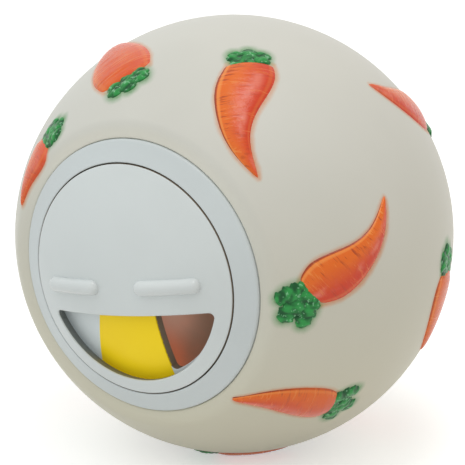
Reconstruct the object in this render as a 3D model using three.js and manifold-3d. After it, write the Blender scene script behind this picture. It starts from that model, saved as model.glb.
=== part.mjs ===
// Treat dispensing ball. A hollow ball carries carrots moulded in relief and a round snap-in lid.
// The lid is a bezel ring, a fixed shutter plate with a half-moon opening, and a dial that turns
// in front of it: where the dial's half-moon window lies over the opening, treats fall out.
// Millimetres, +Z up. The origin is the point where the ball touches the floor, and the lid
// looks along -Y. The lid's pieces are drawn in a frame of their own: x to the right and y up
// for someone who faces the lid, z out along its axis from the ball's centre.

import * as THREE from 'three';
import { mergeVertices } from 'three/addons/utils/BufferGeometryUtils.js';
import Module from 'manifold-3d';

const wasm = await Module();
wasm.setup();

// Driving dimensions
const BALL_RADIUS = 35.0;
const BALL_WALL = 2.2;
const CLEARANCE = 0.3;
const LID_TURN = THREE.MathUtils.degToRad(9.8);

const DIAL_RADIUS = 18.0;
const DIAL_THICKNESS = 1.8;
const DOME_RADIUS = 41.5;
const WINDOW_RIM = 2.3;
const WINDOW_CHORD = 4.7;
const MOON_CORNER = 0.9;
const GRIP_LENGTH = 10.9;
const GRIP_WIDTH = 2.5;
const GRIP_HEIGHT = 1.3;
const GRIP_SINK = 0.6;
const GRIP_MARGIN = 3.4;
const BOSS_RADIUS = 2.6;
const PILOT_RADIUS = 1.35;

const NECK_WALL = 1.4;
const NECK_REACH = 2.0;
const BEAD_BITE = 0.9;
const LEAD_IN = 0.25;
const FLANGE_WIDTH = 1.75;
const BEZEL_EDGE = 0.95;
const RECESS_GAP = 0.35;
const SHOULDER_FILLET = 1.2;

const PLATE_GAP = 0.4;
const PLATE_THICKNESS = 1.6;
const OPENING_INSET = 0.5;
const OPENING_CHORD = 4.2;
const HUB_WALL = 1.7;
const HUB_REACH = 2.0;
const LEDGE_WIDTH = 1.3;
const LEDGE_THICKNESS = 0.9;
const KEY_WIDTH = 2.0;
const KEY_DEPTH = 0.8;
const KEY_ANGLES = [0, 180];

const CLIP_ANGLES = [45, 135, 225, 315];
const CLIP_WIDTH = 2.6;
const CLIP_THICKNESS = 1.0;
const BARB_BITE = 0.9;
const BARB_HEIGHT = 1.3;
const BARB_LAND = 0.3;
const CORE_OUT_WIDTH = 2.2;

const FILM_THICKNESS = 0.4;
const FILM_BRIDGE = 0.3;
const FILM_MARGIN = 0.9;
const FILM_LEFT = 4.5;
const FILM_FLARE = 0.38;

const WASHER_RADIUS = 4.2;
const WASHER_HOLE = 1.5;
const WASHER_THICKNESS = 0.6;
const SCREW_SHANK = 1.05;
const SCREW_HEAD_RADIUS = 2.4;
const SCREW_HEAD_HEIGHT = 1.6;
const SCREW_TIP_SKIN = 1.4;

const RELIEF_HEIGHT = 0.65;
const LEAF_HEIGHT = 0.5;
const RELIEF_SINK = 0.8;
const TUFT_SPREAD = 0.75;

// Where each carrot lies: crown and tip as [azimuth, elevation] in degrees seen from the ball's
// centre, azimuth 0 towards the lid and 90 to the right. sag bends it, neck is the crown's share of
// the width, waist sets the taper. tuft is the leaves' length, fan spreads and lean turns them.
const CARROTS = [
  { crown: [42.3, 64.8], tip: [40, 31], sag: -2.9, width: 9, neck: 0.8, waist: 0.38, tuft: 3.4, fan: 16 },
  { crown: [51.9, 1.8], tip: [77.4, 22.2], sag: -2.6, width: 8.1, neck: 0.64, waist: 0.38, tuft: 6, fan: 34 },
  {
    crown: [65, -33.5], tip: [33, -28.2], sag: -1.4, width: 7.3,
    neck: 0.7, waist: 0.6, tuft: 5, fan: 62, lean: 24,
  },
  { crown: [-21, 54.6], tip: [-84, 53.5], sag: 0.4, width: 10.4, neck: 0.84, waist: 0.5, tuft: 3.4, fan: 14 },
  {
    crown: [-41, 30], tip: [-42.5, 12], sag: -0.5, width: 7,
    neck: 0.66, waist: 0.5, tuft: 4.8, fan: 20, lean: 12,
  },
  { crown: [129, 32], tip: [100.5, 50], sag: 1.2, width: 8, neck: 0.7, waist: 0.5, tuft: 3.4, fan: 30 },
  { crown: [104.5, -4], tip: [104, -27], sag: -1.3, width: 7.6, neck: 0.66, waist: 0.5, tuft: 4.4, fan: 15 },
  { crown: [13.5, -75.2], tip: [88.7, -69.2], sag: 0.6, width: 6.6, neck: 0.7, waist: 0.5, tuft: 4, fan: 30 },
  { crown: [-67, -16], tip: [-66, 14], sag: 1, width: 8, neck: 0.74, waist: 0.42, tuft: 4.6, fan: 34 },
  {
    crown: [-109, 55], tip: [-130, 28], sag: -1.6, width: 8.2,
    neck: 0.66, waist: 0.45, tuft: 5, fan: 40, lean: 8,
  },
  { crown: [137, -8], tip: [150, 24], sag: -2.4, width: 8.6, neck: 0.76, waist: 0.4, tuft: 3.8, fan: 20 },
  {
    crown: [168, 44], tip: [230, 66], sag: 1.6, width: 8,
    neck: 0.68, waist: 0.5, tuft: 5.4, fan: 36, lean: -8,
  },
  { crown: [-138, 2], tip: [-160, -26], sag: -2.2, width: 8.8, neck: 0.66, waist: 0.4, tuft: 5.6, fan: 34 },
  {
    crown: [128, -42], tip: [160, -60], sag: 1.2, width: 7.6,
    neck: 0.72, waist: 0.55, tuft: 4.6, fan: 50, lean: 16,
  },
  { crown: [-104, -24], tip: [-84, -50], sag: 1.8, width: 8, neck: 0.7, waist: 0.45, tuft: 4.8, fan: 30 },
  { crown: [-175, -52], tip: [-140, -60], sag: -1, width: 7.2, neck: 0.74, waist: 0.55, tuft: 4.2, fan: 26 },
  { crown: [178, -14], tip: [-172, 14], sag: 2, width: 8, neck: 0.66, waist: 0.42, tuft: 5.2, fan: 38 },
];

// The leaves of a tuft: place across the crown from -1 to 1, share of the tuft's length, half width
const LEAVES = [
  { place: -0.62, reach: 0.82, half: 1.3 },
  { place: 0.03, reach: 1.0, half: 1.5 },
  { place: 0.64, reach: 0.78, half: 1.3 },
];

// Heights and radii that follow from the driving dimensions
const WINDOW_RADIUS = DIAL_RADIUS - WINDOW_RIM;
const OPENING_RADIUS = WINDOW_RADIUS - OPENING_INSET;
const GRIP_CENTRE = DIAL_RADIUS - GRIP_MARGIN - GRIP_LENGTH / 2;
const BEZEL_BORE = DIAL_RADIUS + CLEARANCE;
const NECK_RADIUS = BEZEL_BORE + NECK_WALL;
const BEZEL_RADIUS = NECK_RADIUS + FLANGE_WIDTH;
const PLATE_RADIUS = BEZEL_BORE - PLATE_GAP;
const LEDGE_RADIUS = PLATE_RADIUS - LEDGE_WIDTH;
const RECESS_RADIUS = BEZEL_RADIUS + RECESS_GAP;
const FILLET_RADIUS = RECESS_RADIUS + SHOULDER_FILLET;
const SEAT = Math.sqrt((BALL_RADIUS - SHOULDER_FILLET) ** 2 - FILLET_RADIUS ** 2);
const LIP_UNDER = SEAT - BALL_WALL;
const LIP_BORE = NECK_RADIUS + CLEARANCE;
const FLANGE_UNDER = SEAT + CLEARANCE;
const EDGE_TOP = FLANGE_UNDER + BEZEL_EDGE;
const DOME_CENTRE = EDGE_TOP - Math.sqrt(DOME_RADIUS ** 2 - BEZEL_RADIUS ** 2);
const PLATE_TOP_DOME = DOME_RADIUS - DIAL_THICKNESS - CLEARANCE;
const PLATE_UNDER_DOME = PLATE_TOP_DOME - PLATE_THICKNESS;
const LEDGE_TOP = domeHeight(PLATE_UNDER_DOME, PLATE_RADIUS) - CLEARANCE;
const LEDGE_UNDER = LEDGE_TOP - LEDGE_THICKNESS;
const NECK_END = LIP_UNDER - NECK_REACH;
const HUB_HOLE = BOSS_RADIUS + CLEARANCE;
const HUB_END = domeHeight(PLATE_UNDER_DOME, 0) - HUB_REACH;
const FILM_COLLAR = OPENING_CHORD - FILM_BRIDGE;
const FILM_RADIUS = PLATE_RADIUS - FILM_MARGIN;
const BOSS_END = HUB_END - CLEARANCE;
const WASHER_TOP = BOSS_END - CLEARANCE;
const HEAD_TOP = WASHER_TOP - WASHER_THICKNESS - CLEARANCE;
const SCREW_TIP = domeHeight(DOME_RADIUS, 0) - SCREW_TIP_SKIN;
const CLIP_FACE = LEDGE_RADIUS - CLEARANCE;
const BARB_TOP = LEDGE_UNDER - CLEARANCE;
const SEGMENTS = 40;
const SHELL_SEGMENTS = 48;
const CUT_LOW = 10;
const CUT_HIGH = 40;

/** Height above the ball's centre of a dome of the lid, at a distance from the lid's axis. */
function domeHeight(dome, distance) {
  return DOME_CENTRE + Math.sqrt(dome ** 2 - distance ** 2);
}

/** A closed manifold solid from a geometry: shared points merged, collapsed triangles dropped. */
function solidOf(geometry) {
  geometry.deleteAttribute('normal');
  geometry.deleteAttribute('uv');
  const merged = mergeVertices(geometry, 1e-4);
  const index = Array.from(merged.index.array);
  const kept = [];
  for (let i = 0; i < index.length; i += 3) {
    const [a, b, c] = index.slice(i, i + 3);
    if (a !== b && b !== c && c !== a) {
      kept.push(a, b, c);
    }
  }
  const vertProperties = new Float32Array(merged.attributes.position.array);
  const triVerts = new Uint32Array(kept);
  return new wasm.Manifold(new wasm.Mesh({ numProp: 3, vertProperties, triVerts }));
}

/** The geometry of a manifold solid. */
function geometryOf(solid) {
  const mesh = solid.getMesh();
  const geometry = new THREE.BufferGeometry();
  geometry.setAttribute('position', new THREE.BufferAttribute(new Float32Array(mesh.vertProperties), 3));
  geometry.setIndex(new THREE.BufferAttribute(new Uint32Array(mesh.triVerts), 1));
  geometry.computeVertexNormals();
  return geometry;
}

/** Points on a circular arc in a plane, both ends included; angles in degrees. */
function arcPoints(centreX, centreY, radius, from, to, steps) {
  const points = [];
  for (let i = 0; i <= steps; i += 1) {
    const angle = THREE.MathUtils.degToRad(from + ((to - from) * i) / steps);
    points.push(new THREE.Vector2(centreX + radius * Math.cos(angle), centreY + radius * Math.sin(angle)));
  }
  return points;
}

/** Points [distance, height] along a dome of the lid, both ends included. */
function domePoints(dome, from, to, steps) {
  const points = [];
  for (let i = 0; i <= steps; i += 1) {
    const distance = from + ((to - from) * i) / steps;
    points.push(new THREE.Vector2(distance, domeHeight(dome, distance)));
  }
  return points;
}

/** A profile of [distance, height] points turned round the lid's axis, in the lid's frame. */
function turned(profile, segments = SEGMENTS) {
  return new THREE.LatheGeometry(profile, segments).rotateX(Math.PI / 2);
}

/** A disc or ring about the lid's axis between two heights. */
function ring(outer, inner, low, high, segments = SEGMENTS) {
  const profile = [
    new THREE.Vector2(inner, low),
    new THREE.Vector2(outer, low),
    new THREE.Vector2(outer, high),
    new THREE.Vector2(inner, high),
  ];
  if (inner > 0) {
    profile.push(profile[0].clone());
  }
  return solidOf(turned(profile, segments));
}

/** A flat outline pulled straight along the lid's axis between two heights. */
function pulled(outline, low, high) {
  const shape = new THREE.Shape(outline);
  const geometry = new THREE.ExtrudeGeometry(shape, { depth: high - low, bevelEnabled: false });
  return solidOf(geometry.translate(0, 0, low));
}

/** A block that stands at a distance from the lid's axis, at an angle round it in degrees. */
function blockAt(angle, near, far, width, low, high) {
  const block = new THREE.BoxGeometry(far - near, width, high - low);
  block.translate((near + far) / 2, 0, (low + high) / 2);
  return solidOf(block.rotateZ(THREE.MathUtils.degToRad(angle)));
}

/** The part of a disc below a chord, with rounded corners; turn swings it round the axis. */
function halfMoon(radius, chord, corner, turn) {
  const inner = radius - corner;
  const cornerX = Math.sqrt(inner ** 2 - (chord + corner) ** 2);
  const lean = THREE.MathUtils.radToDeg(Math.atan2(chord + corner, cornerX));
  const cornerY = -chord - corner;
  const outline = [
    ...arcPoints(cornerX, cornerY, corner, 90, -lean, 4),
    ...arcPoints(0, 0, radius, -lean, lean - 180, 26).slice(1),
    ...arcPoints(-cornerX, cornerY, corner, lean - 180, -270, 4).slice(1),
  ];
  const pivot = new THREE.Vector2(0, 0);
  return outline.reverse().map((point) => point.rotateAround(pivot, turn));
}

/** Unit vector from the ball's centre for an azimuth and elevation in degrees. */
function direction([azimuth, elevation]) {
  const turn = THREE.MathUtils.degToRad(azimuth);
  const rise = THREE.MathUtils.degToRad(elevation);
  return new THREE.Vector3(
    Math.sin(turn) * Math.cos(rise),
    -Math.cos(turn) * Math.cos(rise),
    Math.sin(rise),
  );
}

/**
 * A rounded ridge laid on a sphere. It runs from the unit vector start along the unit vector
 * along; each station has its place along the way, a shift to the side, a half width and a height.
 * Its section is a low arch whose feet are sunk in the sphere.
 */
function ridge(start, along, radius, sink, stations, archPoints) {
  const across = new THREE.Vector3().crossVectors(start, along);
  const rings = stations.map(({ way, shift, half, height }) => {
    const base = start.clone().multiplyScalar(Math.cos(way / radius));
    base.addScaledVector(along, Math.sin(way / radius));
    const place = (side, rise) => {
      const point = base.clone().multiplyScalar(Math.cos(side / radius));
      point.addScaledVector(across, Math.sin(side / radius));
      return point.multiplyScalar(radius + rise);
    };
    const points = [place(shift - half, -sink)];
    for (let k = 0; k < archPoints; k += 1) {
      const angle = THREE.MathUtils.degToRad(140 * (k / (archPoints - 1) - 0.5));
      points.push(place(shift + half * Math.sin(angle), height * Math.cos(angle) ** 0.8));
    }
    points.push(place(shift + half, -sink));
    return points;
  });
  return solidOf(loft(rings));
}

/** A closed skin over rings of equally many points, with a flat cap at each end. */
function loft(rings) {
  const count = rings[0].length;
  const last = (rings.length - 1) * count;
  const index = [];
  for (let i = 0; i < rings.length - 1; i += 1) {
    for (let k = 0; k < count; k += 1) {
      const a = i * count + k;
      const b = i * count + ((k + 1) % count);
      index.push(a, a + count, b + count, a, b + count, b);
    }
  }
  for (let k = 1; k < count - 1; k += 1) {
    index.push(0, k, k + 1);
    index.push(last, last + k + 1, last + k);
  }
  const geometry = new THREE.BufferGeometry();
  geometry.setFromPoints(rings.flat());
  geometry.setIndex(index);
  return geometry;
}

/** Half width of a carrot at s, its share of the way from crown to tip. */
function carrotHalfWidth({ width, neck, waist }, s) {
  const shoulder = neck + (1 - neck) * Math.sin((Math.PI / 2) * Math.min(s / 0.2, 1));
  const u = Math.max(0, (s - 0.2) / 0.8);
  const taper = 0.42 * Math.exp(-((u / waist) ** 2)) + 0.58 * (1 - u ** 2) ** 0.7;
  return (width / 2) * shoulder * taper;
}

/** The root of a carrot: a ridge that swells behind the crown and bends to its tip. */
function carrotRoot(carrot) {
  const crown = direction(carrot.crown);
  const tip = direction(carrot.tip);
  const reach = crown.angleTo(tip) * BALL_RADIUS;
  const along = tip.clone().addScaledVector(crown, -crown.dot(tip)).normalize();
  const shares = [0, 0.12, 0.32, 0.54, 0.78, 0.985];
  const stations = shares.map((s) => ({
    way: s * reach,
    shift: carrot.sag * Math.sin(Math.PI * s ** 1.4),
    half: carrotHalfWidth(carrot, s),
    height: RELIEF_HEIGHT * Math.min(1, 0.55 + 3 * s) * (1 - s ** 4) ** 0.5,
  }));
  return ridge(crown, along, BALL_RADIUS, RELIEF_SINK, stations, 5);
}

/** The leaves at a carrot's crown: short ridges side by side that fan out away from the tip. */
function carrotTuft(carrot) {
  const crown = direction(carrot.crown);
  const tip = direction(carrot.tip);
  const along = tip.clone().addScaledVector(crown, -crown.dot(tip)).normalize();
  const side = new THREE.Vector3().crossVectors(crown, along);
  return LEAVES.map(({ place, reach, half }) => {
    const shift = (place * TUFT_SPREAD * carrotHalfWidth(carrot, 0)) / BALL_RADIUS;
    const foot = crown.clone().multiplyScalar(Math.cos(shift)).addScaledVector(side, Math.sin(shift));
    const sideways = side.clone().multiplyScalar(Math.cos(shift)).addScaledVector(crown, -Math.sin(shift));
    const angle = THREE.MathUtils.degToRad((carrot.lean ?? 0) + place * carrot.fan);
    const heading = sideways.multiplyScalar(Math.sin(angle)).addScaledVector(along, -Math.cos(angle));
    const length = carrot.tuft * reach;
    const stations = [0, 0.3, 0.72, 1].map((q) => ({
      way: length * (1.2 * q - 0.2),
      shift: 0,
      half: half * (0.35 + 0.65 * Math.sin(Math.PI * q ** 1.25)),
      height: LEAF_HEIGHT * (0.45 + 0.55 * Math.sin(Math.PI * q)),
    }));
    return ridge(foot, heading, BALL_RADIUS, RELIEF_SINK, stations, 3);
  });
}

/** The hollow ball with its shoulder, the seat and lip for the lid, and the carrots. */
function ballShell() {
  const inner = BALL_RADIUS - BALL_WALL;
  const tangent = THREE.MathUtils.radToDeg(Math.atan2(SEAT, FILLET_RADIUS));
  const lipEdge = THREE.MathUtils.radToDeg(Math.asin(LIP_UNDER / inner));
  const profile = [
    ...arcPoints(0, 0, BALL_RADIUS, -90, 0, 10),
    ...arcPoints(0, 0, BALL_RADIUS, 0, tangent, 5).slice(1),
    ...arcPoints(FILLET_RADIUS, SEAT, SHOULDER_FILLET, tangent, 180, 4).slice(1),
    new THREE.Vector2(LIP_BORE, SEAT),
    new THREE.Vector2(LIP_BORE, LIP_UNDER),
    ...arcPoints(0, 0, inner, lipEdge, -90, 8),
  ];
  profile[0].x = 0;
  profile[profile.length - 1].x = 0;
  let shell = solidOf(new THREE.LatheGeometry(profile, SHELL_SEGMENTS).rotateX(Math.PI));
  for (const carrot of CARROTS) {
    shell = shell.add(carrotRoot(carrot));
    for (const leaf of carrotTuft(carrot)) {
      shell = shell.add(leaf);
    }
  }
  return geometryOf(shell);
}

/** The ring that snaps into the ball: a flange, a neck with a bead, and a ledge for the plate. */
function lidBezel() {
  const bead = LIP_BORE + BEAD_BITE;
  const beadTop = LIP_UNDER - CLEARANCE;
  const profile = [
    new THREE.Vector2(NECK_RADIUS - LEAD_IN, NECK_END),
    new THREE.Vector2(bead, beadTop - 2 * LEAD_IN),
    new THREE.Vector2(bead, beadTop - LEAD_IN),
    new THREE.Vector2(NECK_RADIUS, beadTop),
    new THREE.Vector2(NECK_RADIUS, FLANGE_UNDER),
    new THREE.Vector2(BEZEL_RADIUS, FLANGE_UNDER),
    new THREE.Vector2(BEZEL_RADIUS, EDGE_TOP - LEAD_IN),
    ...domePoints(DOME_RADIUS, BEZEL_RADIUS - LEAD_IN, BEZEL_BORE + LEAD_IN / 2, 3),
    new THREE.Vector2(BEZEL_BORE, domeHeight(DOME_RADIUS, BEZEL_BORE) - LEAD_IN / 2),
    new THREE.Vector2(BEZEL_BORE, LEDGE_TOP),
    new THREE.Vector2(LEDGE_RADIUS, LEDGE_TOP),
    new THREE.Vector2(LEDGE_RADIUS, LEDGE_UNDER),
    new THREE.Vector2(BEZEL_BORE, LEDGE_UNDER),
    new THREE.Vector2(BEZEL_BORE, NECK_END),
  ];
  profile.push(profile[0].clone());
  let bezel = solidOf(turned(profile));
  const keyTop = domeHeight(PLATE_TOP_DOME, PLATE_RADIUS) - CLEARANCE;
  for (const angle of KEY_ANGLES) {
    const near = PLATE_RADIUS - KEY_DEPTH + CLEARANCE;
    bezel = bezel.add(blockAt(angle, near, BEZEL_BORE + 0.5, KEY_WIDTH, LEDGE_TOP - 0.3, keyTop));
  }
  return geometryOf(bezel);
}

/** Outline of the marker film, or with a margin that of the recess it lies in. */
function filmOutline(margin, right) {
  const radius = FILM_RADIUS + margin;
  const left = FILM_LEFT + margin;
  const flare = 1 + FILM_FLARE ** 2;
  const reach = Math.sqrt((left * FILM_FLARE) ** 2 - flare * (left ** 2 - radius ** 2));
  const leftY = (reach - left * FILM_FLARE) / flare;
  const leftX = left + FILM_FLARE * leftY;
  const rightAngle = THREE.MathUtils.radToDeg(Math.acos(right / radius));
  const leftAngle = 180 - THREE.MathUtils.radToDeg(Math.atan2(leftY, leftX));
  return [
    ...arcPoints(0, 0, radius, rightAngle, leftAngle, 8),
    new THREE.Vector2(-left, 0),
    ...arcPoints(0, 0, radius, -leftAngle, -rightAngle, 8),
  ];
}

/** A skin between two domes of the lid, out to a radius. */
function domeSkin(top, under, radius, steps) {
  const profile = [
    ...domePoints(under, 0, radius, steps),
    ...domePoints(top, radius, 0, steps),
  ];
  return solidOf(turned(profile));
}

/** A snap clip under the plate: a leg, and a barb that hooks under the bezel's ledge. */
function snapClip(angle) {
  const foot = BARB_TOP - BARB_HEIGHT;
  const outline = [
    new THREE.Vector2(CLIP_FACE - CLIP_THICKNESS, foot),
    new THREE.Vector2(CLIP_FACE, foot),
    new THREE.Vector2(CLIP_FACE + BARB_BITE, BARB_TOP - BARB_LAND),
    new THREE.Vector2(CLIP_FACE + BARB_BITE, BARB_TOP),
    new THREE.Vector2(CLIP_FACE, BARB_TOP),
    new THREE.Vector2(CLIP_FACE, LEDGE_TOP + PLATE_THICKNESS),
    new THREE.Vector2(CLIP_FACE - CLIP_THICKNESS, LEDGE_TOP + PLATE_THICKNESS),
  ];
  const shape = new THREE.Shape(outline);
  const clip = new THREE.ExtrudeGeometry(shape, { depth: CLIP_WIDTH, bevelEnabled: false });
  clip.translate(0, 0, -CLIP_WIDTH / 2).rotateX(Math.PI / 2);
  return solidOf(clip.rotateZ(THREE.MathUtils.degToRad(angle)));
}

/** The fixed plate behind the dial: opening, hub, recess for the film, clips and key notches. */
function shutterPlate() {
  const hub = ring(HUB_HOLE + HUB_WALL, 0, HUB_END, domeHeight(PLATE_UNDER_DOME, 0) + 0.3, 32);
  const hole = ring(HUB_HOLE, 0, CUT_LOW, CUT_HIGH, 32);
  const moon = halfMoon(OPENING_RADIUS, OPENING_CHORD, MOON_CORNER, Math.PI / 2);
  const recessFloor = PLATE_TOP_DOME - FILM_THICKNESS - CLEARANCE;
  const recess = pulled(filmOutline(CLEARANCE, OPENING_CHORD + CLEARANCE), CUT_LOW, CUT_HIGH)
    .subtract(ring(FILM_COLLAR - CLEARANCE, 0, CUT_LOW - 1, CUT_HIGH + 1, 32))
    .subtract(domeSkin(recessFloor, recessFloor - 6, PLATE_RADIUS, 5));
  let plate = domeSkin(PLATE_TOP_DOME, PLATE_UNDER_DOME, PLATE_RADIUS, 5)
    .add(hub)
    .subtract(recess)
    .subtract(hole)
    .subtract(pulled(moon, CUT_LOW, CUT_HIGH));
  for (const angle of CLIP_ANGLES) {
    const coreOut = blockAt(angle, CLIP_FACE, CLIP_FACE + BARB_BITE, CORE_OUT_WIDTH, CUT_LOW, CUT_HIGH);
    plate = plate.add(snapClip(angle)).subtract(coreOut.intersect(aboveBarbs()));
  }
  for (const angle of KEY_ANGLES) {
    const notchWidth = KEY_WIDTH + 2 * CLEARANCE;
    const notchFloor = PLATE_RADIUS - KEY_DEPTH;
    const notch = blockAt(angle, notchFloor, PLATE_RADIUS + 1, notchWidth, CUT_LOW, CUT_HIGH);
    plate = plate.subtract(notch);
  }
  return geometryOf(plate);
}

/** The space from the ledge upwards, where a clip's core-out window passes through the plate. */
function aboveBarbs() {
  return ring(PLATE_RADIUS + 1, 0, LEDGE_UNDER, CUT_HIGH, 32);
}

/** The thin film that marks the plate's closed side, flush with the plate's face. */
function markerFilm() {
  const film = domeSkin(PLATE_TOP_DOME, PLATE_TOP_DOME - FILM_THICKNESS, PLATE_RADIUS, 5)
    .intersect(pulled(filmOutline(0, OPENING_CHORD), CUT_LOW, CUT_HIGH))
    .subtract(ring(FILM_COLLAR, 0, CUT_LOW, CUT_HIGH, 32));
  return geometryOf(film);
}

/** A finger grip on the dial: a ridge with round ends that follows the dome. */
function grip(centre) {
  const half = GRIP_WIDTH / 2;
  const ends = [0, 0.25, 0.6, 1];
  const rounds = ends.map((q) => ({ in: half * q, share: Math.sqrt(1 - (1 - q) ** 2) }));
  const start = centre - GRIP_LENGTH / 2;
  const finish = centre + GRIP_LENGTH / 2;
  const station = (way, share) => ({
    way,
    shift: 0,
    half: half * (0.3 + 0.7 * share),
    height: GRIP_HEIGHT * (0.35 + 0.65 * share),
  });
  const stations = [
    ...rounds.map((round) => station(start + round.in, round.share)),
    station(centre, 1),
    ...rounds.reverse().map((round) => station(finish - round.in, round.share)),
  ];
  const up = new THREE.Vector3(0, 0, 1);
  const right = new THREE.Vector3(1, 0, 0);
  const solid = ridge(up, right, DOME_RADIUS, GRIP_SINK, stations, 7);
  return solid.translate([0, 0, DOME_CENTRE]);
}

/** The turning dial: a domed disc with a half-moon window, two grips and a boss for the screw. */
function dialDisc() {
  const moon = halfMoon(WINDOW_RADIUS, WINDOW_CHORD, MOON_CORNER, 0);
  const pilotEnd = SCREW_TIP + CLEARANCE;
  const dial = domeSkin(DOME_RADIUS, DOME_RADIUS - DIAL_THICKNESS, DIAL_RADIUS, 5)
    .add(ring(BOSS_RADIUS, 0, BOSS_END, domeHeight(DOME_RADIUS, 0) - 1, 32))
    .add(grip(-GRIP_CENTRE))
    .add(grip(GRIP_CENTRE))
    .subtract(pulled(moon, CUT_LOW, CUT_HIGH))
    .subtract(ring(PILOT_RADIUS, 0, CUT_LOW, pilotEnd, 20));
  return geometryOf(dial);
}

/** The washer that keeps the dial on the plate's hub. */
function pivotWasher() {
  return geometryOf(ring(WASHER_RADIUS, WASHER_HOLE, WASHER_TOP - WASHER_THICKNESS, WASHER_TOP, 32));
}

/** The pan head screw that holds the washer to the dial's boss. */
function pivotScrew() {
  const low = HEAD_TOP - SCREW_HEAD_HEIGHT;
  const profile = [
    new THREE.Vector2(0, low),
    new THREE.Vector2(SCREW_HEAD_RADIUS * 0.62, low + 0.08),
    new THREE.Vector2(SCREW_HEAD_RADIUS * 0.9, low + 0.45),
    new THREE.Vector2(SCREW_HEAD_RADIUS, low + 1.0),
    new THREE.Vector2(SCREW_HEAD_RADIUS, HEAD_TOP),
    new THREE.Vector2(SCREW_SHANK, HEAD_TOP),
    new THREE.Vector2(SCREW_SHANK, SCREW_TIP - 0.8),
    new THREE.Vector2(0.3, SCREW_TIP),
    new THREE.Vector2(0, SCREW_TIP),
  ];
  return geometryOf(solidOf(turned(profile, 24)));
}

/** A named piece with its own material. */
function piece(name, geometry, color, roughness, metalness = 0) {
  const mesh = new THREE.Mesh(geometry, new THREE.MeshStandardMaterial({ color, roughness, metalness }));
  mesh.name = name;
  return mesh;
}

const lid = new THREE.Group();
lid.rotation.z = LID_TURN;
lid.add(
  piece('lid_bezel', lidBezel(), 0xc6cdcb, 0.45),
  piece('shutter_plate', shutterPlate(), 0xc9cfcf, 0.45),
  piece('marker_film', markerFilm(), 0xdfc42a, 0.4),
  piece('dial', dialDisc(), 0xc8cfce, 0.42),
  piece('pivot_washer', pivotWasher(), 0xb9babb, 0.35, 1),
  piece('pivot_screw', pivotScrew(), 0xaeb0b2, 0.35, 1),
);

const lidAxis = new THREE.Group();
lidAxis.rotation.x = Math.PI / 2;
lidAxis.add(lid);

const ball = new THREE.Group();
ball.position.z = BALL_RADIUS;
ball.add(piece('ball_shell', ballShell(), 0xc9c7ba, 0.5), lidAxis);

const dispenser = new THREE.Group();
dispenser.add(ball);

export default dispenser;
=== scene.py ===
"""Looks of a treat dispensing ball for small pets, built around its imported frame.

The ball is soft cream vinyl with painted carrots in relief. A round lid of pale plastic closes
it: a bezel ring, a shutter plate with a half-moon opening, and a dial whose own half-moon
window turns in front of the plate. Sizes are in millimetres and become metres where a mesh is
made. The lid has a frame of its own: x right and y up for someone who faces it, h out along
its axis from the ball's centre.
"""

import logging
import math
from abc import ABC, abstractmethod
from dataclasses import dataclass, field
from enum import Enum

import bpy
import numpy as np
from mathutils import Matrix, Vector


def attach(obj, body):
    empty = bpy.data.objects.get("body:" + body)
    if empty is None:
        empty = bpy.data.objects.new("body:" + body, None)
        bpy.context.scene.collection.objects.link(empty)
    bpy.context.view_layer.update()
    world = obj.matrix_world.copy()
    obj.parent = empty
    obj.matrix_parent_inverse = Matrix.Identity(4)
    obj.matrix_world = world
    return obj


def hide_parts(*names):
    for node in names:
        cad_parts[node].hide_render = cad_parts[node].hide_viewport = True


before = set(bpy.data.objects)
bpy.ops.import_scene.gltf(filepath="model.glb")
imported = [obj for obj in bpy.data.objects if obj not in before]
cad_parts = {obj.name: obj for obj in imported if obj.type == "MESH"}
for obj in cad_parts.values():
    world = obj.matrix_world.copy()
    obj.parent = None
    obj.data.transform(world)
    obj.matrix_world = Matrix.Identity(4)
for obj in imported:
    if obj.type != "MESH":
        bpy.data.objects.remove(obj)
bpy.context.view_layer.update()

Array = np.ndarray
Socket = bpy.types.NodeSocket
Tree = bpy.types.NodeTree
Node = bpy.types.Node
Material = bpy.types.Material
Object = bpy.types.Object
Pair = tuple[float, float]
Triple = tuple[float, float, float]

MM = 0.001
UP = np.array([0.0, 0.0, 1.0])
# Degrees past which an edge stays sharp: on the lid, on the ball, on carrots and grips
SHARP, BALL_SHARP, SOFT_SHARP = 35.0, 40.0, 50.0
# Heights between which a hole is cut through the lid's domes
CUT_SPAN = (20.0, 34.0)
log = logging.getLogger("treat_ball")


# Sizes that the CAD solids share


@dataclass(frozen=True)
class BallSizes:
    """Sizes of the hollow ball and of the place where the lid sits."""

    radius: float = 35.0
    wall: float = 2.2
    fillet: float = 1.2
    fillet_centre: float = 23.0
    bore: float = 20.0
    roll_start: float = 24.6
    roll: float = 2.9
    land_edge: float = 21.48

    @property
    def inner(self) -> float:
        """Radius of the chamber."""
        return self.radius - self.wall

    @property
    def seat(self) -> float:
        """Height of the face that the bezel lies over: that of the shoulder fillet's centre."""
        return math.sqrt((self.radius - self.fillet) ** 2 - self.fillet_centre ** 2)

    @property
    def roll_angle(self) -> float:
        """Angle above the lid's plane at which the sphere goes over to the roll."""
        return math.acos(self.roll_start / self.radius)

    @property
    def roll_centre(self) -> Pair:
        """Distance and height of the roll's centre."""
        reach = self.radius - self.roll
        return reach * math.cos(self.roll_angle), reach * math.sin(self.roll_angle)


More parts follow.
